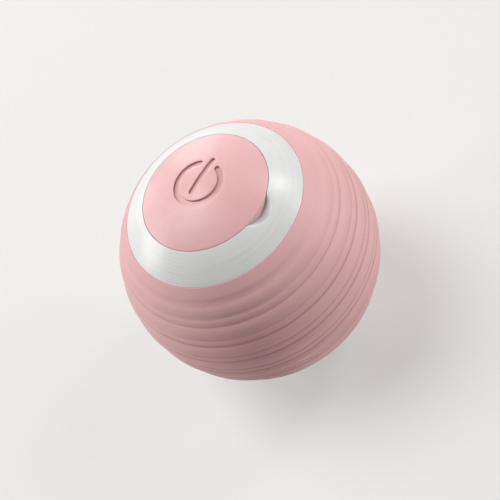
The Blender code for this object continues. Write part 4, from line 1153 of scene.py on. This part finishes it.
@dataclass
class PowerSymbol:
    """The engraved power symbol: a ring open at the top and a bar."""

    ring_radius: float = 3.55
    ring_half: float = 0.47
    gap_angle: float = 27.5
    bar_half: float = 0.42
    bar_top: float = 4.25
    bar_bottom: float = -1.75
    depth: float = 0.4

    # Distances from the symbol's edge, less than 0 inside it, and the share of the depth there
    wall: tuple[Place, ...] = (
        (-0.09, 1.0),
        (-0.055, 0.97),
        (-0.035, 0.91),
        (-0.022, 0.8),
        (0.0, 0.14),
        (0.012, 0.07),
        (0.028, 0.025),
        (0.05, 0.0),
    )

    def distance(self, x: float, y: float) -> float:
        """Measure how far a place is from the symbol's edge.

        Args:
            x: The place along X.
            y: The place along Y, the symbol's way up.

        Returns:
            The distance, less than 0 inside the symbol.
        """
        if abs(math.degrees(math.atan2(x, y))) >= self.gap_angle:
            ring = abs(math.hypot(x, y) - self.ring_radius)
        else:
            end_x, end_y = polar(self.ring_radius, 90 - self.gap_angle)
            ring = math.hypot(abs(x) - end_x, y - end_y)
        bar = math.hypot(x, y - min(max(y, self.bar_bottom), self.bar_top))
        return min(ring - self.ring_half, bar - self.bar_half)

    def drop(self, distance: float) -> float:
        """Find the engraving's depth, with a rounded edge, a steep wall and a small fillet at the floor.

        Args:
            distance: The distance from the symbol's edge, less than 0 inside it.

        Returns:
            The depth.
        """
        if distance <= self.wall[0][0]:
            return self.depth
        for (near, deep), (far, shallow) in zip(self.wall, self.wall[1:]):
            if distance <= far:
                return self.depth * (deep + (shallow - deep) * (distance - near) / (far - near))
        return 0.0

    def outlines(self, offset: float) -> tuple[Profile, Profile]:
        """Draw the symbol's edges.

        Args:
            offset: How far they are moved outwards.

        Returns:
            The ring's edge and the bar's.
        """
        half = self.ring_half + offset
        start, end = 90 + self.gap_angle, 450 - self.gap_angle
        ring = bend((0.0, 0.0), self.ring_radius + half, start, end, 150)
        ring += bend(polar(self.ring_radius, end), half, end, end + 180, 12)[1:-1]
        ring += bend((0.0, 0.0), self.ring_radius - half, end, start, 120)
        ring += bend(polar(self.ring_radius, start), half, start + 180, start + 360, 12)[1:-1]
        half = self.bar_half + offset
        rise = (self.bar_top - self.bar_bottom) / 16
        bar = bend((0.0, self.bar_top), half, 0, 180, 12)
        bar += [(-half, self.bar_top - rise * step) for step in range(1, 16)]
        bar += bend((0.0, self.bar_bottom), half, 180, 360, 12)
        bar += [(half, self.bar_bottom + rise * step) for step in range(1, 16)]
        return ring, bar


@dataclass
class PowerCap(DomedCap):
    """The domed pink push cap with the engraved power symbol."""

    skirt_inner: float = 8.9
    skirt_bottom: float = 17.616
    socket_inner: float = 2.3
    socket_outer: float = 3.3
    patch_radius: float = 5.6
    patch_grid: float = 0.42
    symbol_inside: float = -0.3
    symbol_clear: float = 0.24
    easing: float = 0.07
    segments: int = 192
    symbol: PowerSymbol = field(default_factory=PowerSymbol)

    def lines(self) -> list[Profile]:
        """Draw the closed lines that the patch's faces don't cross.

        Returns:
            The patch's edge, then the symbol's edges at each step of its wall.
        """
        lines = [bend((0.0, 0.0), self.patch_radius, 0, 360, self.segments)[:-1]]
        for offset in (self.symbol_inside, *(distance for distance, _ in self.symbol.wall)):
            lines += self.symbol.outlines(offset)
        return lines

    def grid(self) -> Profile:
        """Set out the points between the lines, as even rings.

        Returns:
            The points that stand clear of the symbol.
        """
        places = []
        for step in range(int(self.patch_radius / self.patch_grid)):
            radius = self.patch_grid * step
            count = max(1, round(2 * math.pi * radius / self.patch_grid))
            turn = 180 * (step % 2) / count
            places += bend((0.0, 0.0), radius, turn, turn + 360, count)[:-1]
        return [place for place in places if self.symbol.distance(*place) > self.symbol_clear]

    def patch(self, form: Form) -> Ring:
        """Make the engraved middle of the dome.

        Args:
            form: The form that takes it.

        Returns:
            The vertices of its edge, in order.
        """
        places, edges = [], []
        for line in self.lines():
            first, count = len(places), len(line)
            places += line
            edges += [(first + index, first + (index + 1) % count) for index in range(count)]
        places = [Vector(place) for place in places + self.grid()]
        found, _, faces, _, _, _ = delaunay_2d_cdt(places, edges, [], 0, 1e-6)
        verts = []
        for place in found:
            radius = self.face_radius - self.symbol.drop(self.symbol.distance(*place))
            verts.append(form.verts.new((*place, sphere_height(radius, place.length))))
        for face in faces:
            form.faces.new([verts[index] for index in face])
        rim = [vert for vert in verts if math.hypot(vert.co.x, vert.co.y) > self.patch_radius - 1e-4]
        return sorted(rim, key=lambda vert: math.atan2(vert.co.y, vert.co.x) % (2 * math.pi - 1e-9))

    def profile(self) -> Profile:
        """Draw the cap's outline outside the patch.

        Returns:
            The outline, from the patch's edge round the skirt to the axis.
        """
        socket_angle = axis_angle(self.inner_radius, self.socket_outer)
        return [
            *arc(self.face_radius, axis_angle(self.face_radius, self.patch_radius), self.rim_angle(), 14),
            (self.cap_radius, self.skirt_bottom),
            (self.skirt_inner, self.skirt_bottom),
            *arc(self.inner_radius, axis_angle(self.inner_radius, self.skirt_inner), socket_angle, 8),
            (self.socket_outer, self.skirt_bottom),
            (self.socket_inner, self.skirt_bottom),
            (self.socket_inner, sphere_height(self.inner_radius, self.socket_inner)),
            (0.0, self.inner_radius),
        ]

    def build(self, bench: Bench) -> None:
        """Make the cap.

        Args:
            bench: The bench that finishes it.
        """
        form = bmesh.new()
        rings = [self.patch(form)]
        for radius, height in eased(self.profile(), self.easing, closed=False)[1:]:
            rings.append(ring_of(form, radius, height, self.segments))
        skin(form, rings)
        bench.settle(piece_of(form, "push_cap", sharp=50), Body.CAP, Slot.CAP, "power_cap")


@dataclass
class ReturnSpring:
    """The coil that lifts the button, and shortens as the button is pressed."""

    radius: float = 2.75
    wire_radius: float = 0.2
    turns: float = 2.5
    steps: int = 140
    sides: int = 16
    flatness: float = 0.3
    end_scale: float = 0.75
    end_inset: float = 0.002
    travel: float = 0.8

    def place(self, share: float, low: float, high: float) -> Vector:
        """Return a point of the wire's middle line by its share of the way, flatter near both ends."""
        rise = (1 - self.flatness) * share + self.flatness * smooth(share)
        return Vector((*polar(self.radius, 360 * self.turns * share), low + (high - low) * rise))

    def build(self, bench: Bench) -> None:
        """Wind the spring between its seats.

        Args:
            bench: The bench that finishes it.
        """
        lowest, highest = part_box("return_spring")
        low = lowest[2] / MM - CENTRE_HEIGHT + self.wire_radius
        high = highest[2] / MM - CENTRE_HEIGHT - self.wire_radius
        stations = [(step / self.steps, 0.0, 1.0) for step in range(1, self.steps)]
        stations = [(0.0, 0.0, self.end_scale), (0.0, self.end_inset, 1.0), *stations]
        stations += [(1.0, -self.end_inset, 1.0), (1.0, 0.0, self.end_scale)]
        form = bmesh.new()
        rings = []
        for share, inset, scale in stations:
            middle = self.place(share + inset, low, high)
            along = self.place(share + 0.001, low, high) - self.place(share - 0.001, low, high)
            out = Vector((middle.x, middle.y, 0.0)).normalized()
            up = along.normalized().cross(out)
            places = bend((0.0, 0.0), self.wire_radius * scale, 0, 360, self.sides)[:-1]
            rings.append([form.verts.new(middle + out * across + up * over) for across, over in places])
        skin(form, rings)
        form.faces.new(rings[0])
        form.faces.new(rings[-1])
        piece = piece_of(form, "coil_spring")
        bench.settle(piece, Body.BALL, Slot.STEEL, "return_spring")
        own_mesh(piece)


@dataclass
class InnerParts:
    """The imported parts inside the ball, which keep their shapes and take their finishes."""

    edges: tuple[tuple[float, tuple[str, ...]], ...] = (
        (0.05, ("main_board",)),
        (0.06, ("usb_socket", "control_chip", "upper_bush", "lower_bush")),
        (0.08, ("status_led", "middle_frame", "gearbox_cover", "weight_hub", "output_shaft")),
        (0.1, ("button_carrier", "switch_plunger", "motor_end_cap")),
        (0.12, ("switch_body", "shake_sensor", "swing_weight")),
    )

    def build(self, bench: Bench) -> None:
        """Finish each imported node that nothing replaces.

        Args:
            bench: The bench that finishes them.
        """
        slots = {part["node"]: Slot(part["material_slot"]) for part in frame["record"]["subparts"]}
        widths = {node: width for width, nodes in self.edges for node in nodes}
        for node in frame["nodes"]:
            if node not in bench.replaced:
                bench.dress(node, slots[node], widths.get(node, 0.0))


@dataclass(frozen=True)
class Softbox:
    """A round soft lamp, with its sizes in metres.

    Its aim is the way to it from the ball: right, up and towards the camera. Its level is how bright
    it makes a white surface that faces it, where 1 is white.
    """

    name: str
    aim: Triple
    size: float
    level: float
    distance: float = 1.2

    def hang(self, axes: Matrix) -> None:
        """Hang the lamp.

        Args:
            axes: The picture's right, its up and the way back to the camera, as columns.
        """
        way = (axes @ Vector(self.aim)).normalized()
        data = bpy.data.lights.new(self.name, "AREA")
        data.shape = "DISK"
        data.size = self.size
        data.energy = self.level * math.pi**2 * self.distance**2
        lamp = placed(self.name, data)
        lamp.location = CENTRE + way * self.distance
        lamp.rotation_euler = way.to_track_quat("Z", "Y").to_euler()


@dataclass
class Studio:
    """A plain pale floor in a white room, soft lamps and the camera, with sizes in metres."""

    distance: float = 0.1505
    lens: float = 65.3
    back: Triple = (0.53573, -0.26106, 0.80302)
    roll: float = 37.83
    ambient: float = 0.13
    room_seen: float = 0.96
    floor_radius: float = 2.5
    floor_gap: float = 0.00002
    lamps: tuple[Softbox, ...] = (
        Softbox("left softbox", (-0.69, 0.51, 0.5), size=0.8, level=0.565),
        Softbox("left side softbox", (-0.95, 0.05, 0.0), size=0.6, level=0.26),
        Softbox("left rear softbox", (-0.82, 0.42, -0.3), size=0.6, level=0.12),
        Softbox("rear softbox", (-0.45, 0.75, -0.35), size=0.5, level=0.17),
        Softbox("upper right softbox", (0.35, 0.82, 0.44), size=0.34, level=0.175),
        Softbox("right softbox", (0.85, 0.4, 0.33), size=0.35, level=0.455),
    )

    def axes(self) -> Matrix:
        """Work out how the camera is turned.

        Returns:
            The picture's right, its up and the way back to the camera, as columns.
        """
        back = Vector(self.back).normalized()
        rise = (Vector((0, 0, 1)) - back * back.z).normalized()
        angle = math.radians(self.roll)
        up = rise * math.cos(angle) + rise.cross(back) * math.sin(angle)
        return Matrix((up.cross(back), up, back)).transposed()

    def camera(self) -> None:
        """Set up the camera where the photograph was taken from."""
        data = bpy.data.cameras.new("camera")
        data.lens = self.lens
        data.clip_start = 0.01
        axes = self.axes()
        camera = placed("camera", data)
        camera.matrix_world = Matrix.Translation(CENTRE + axes.col[2] * self.distance) @ axes.to_4x4()
        bpy.context.scene.camera = camera

    def surroundings(self) -> None:
        """Make the even light of a white room."""
        world = bpy.data.worlds.new("white room")
        world.use_nodes = True
        room = Nodes(world.node_tree)
        strength = room.put("MapRange", room.seen(), 0.0, 1.0, self.ambient, self.room_seen).outputs[0]
        light = room.nodes["Background"].inputs
        room.give(light["Color"], tint(252, 252, 250))
        room.give(light["Strength"], strength)
        bpy.context.scene.world = world

    def floor(self) -> None:
        """Lay a plain pale floor under the ball."""
        form = bmesh.new()
        bmesh.ops.create_circle(form, cap_ends=True, segments=96, radius=self.floor_radius)
        bmesh.ops.translate(form, verts=form.verts[:], vec=(0.0, 0.0, -self.floor_gap))
        mesh = bpy.data.meshes.new("pale_floor")
        form.to_mesh(mesh)
        form.free()
        mesh.materials.append(FloorFinish().material)
        floor = placed("pale_floor", mesh)

    def build(self) -> None:
        """Set up the whole studio."""
        self.camera()
        self.surroundings()
        self.floor()
        for lamp in self.lamps:
            lamp.hang(self.axes())
        bpy.context.scene.view_settings.view_transform = "Standard"


def main() -> None:
    """Build every sub-assembly in order, then the studio."""
    logging.basicConfig(level=logging.INFO, format="%(name)s: %(message)s")
    bench = Bench()
    for part in (Sleeve(), UpperShell(), LowerShell(), LowerCap(), PowerCap(), ReturnSpring(), InnerParts()):
        part.build(bench)
    Studio().build()


if __name__ == "__main__":
    main()
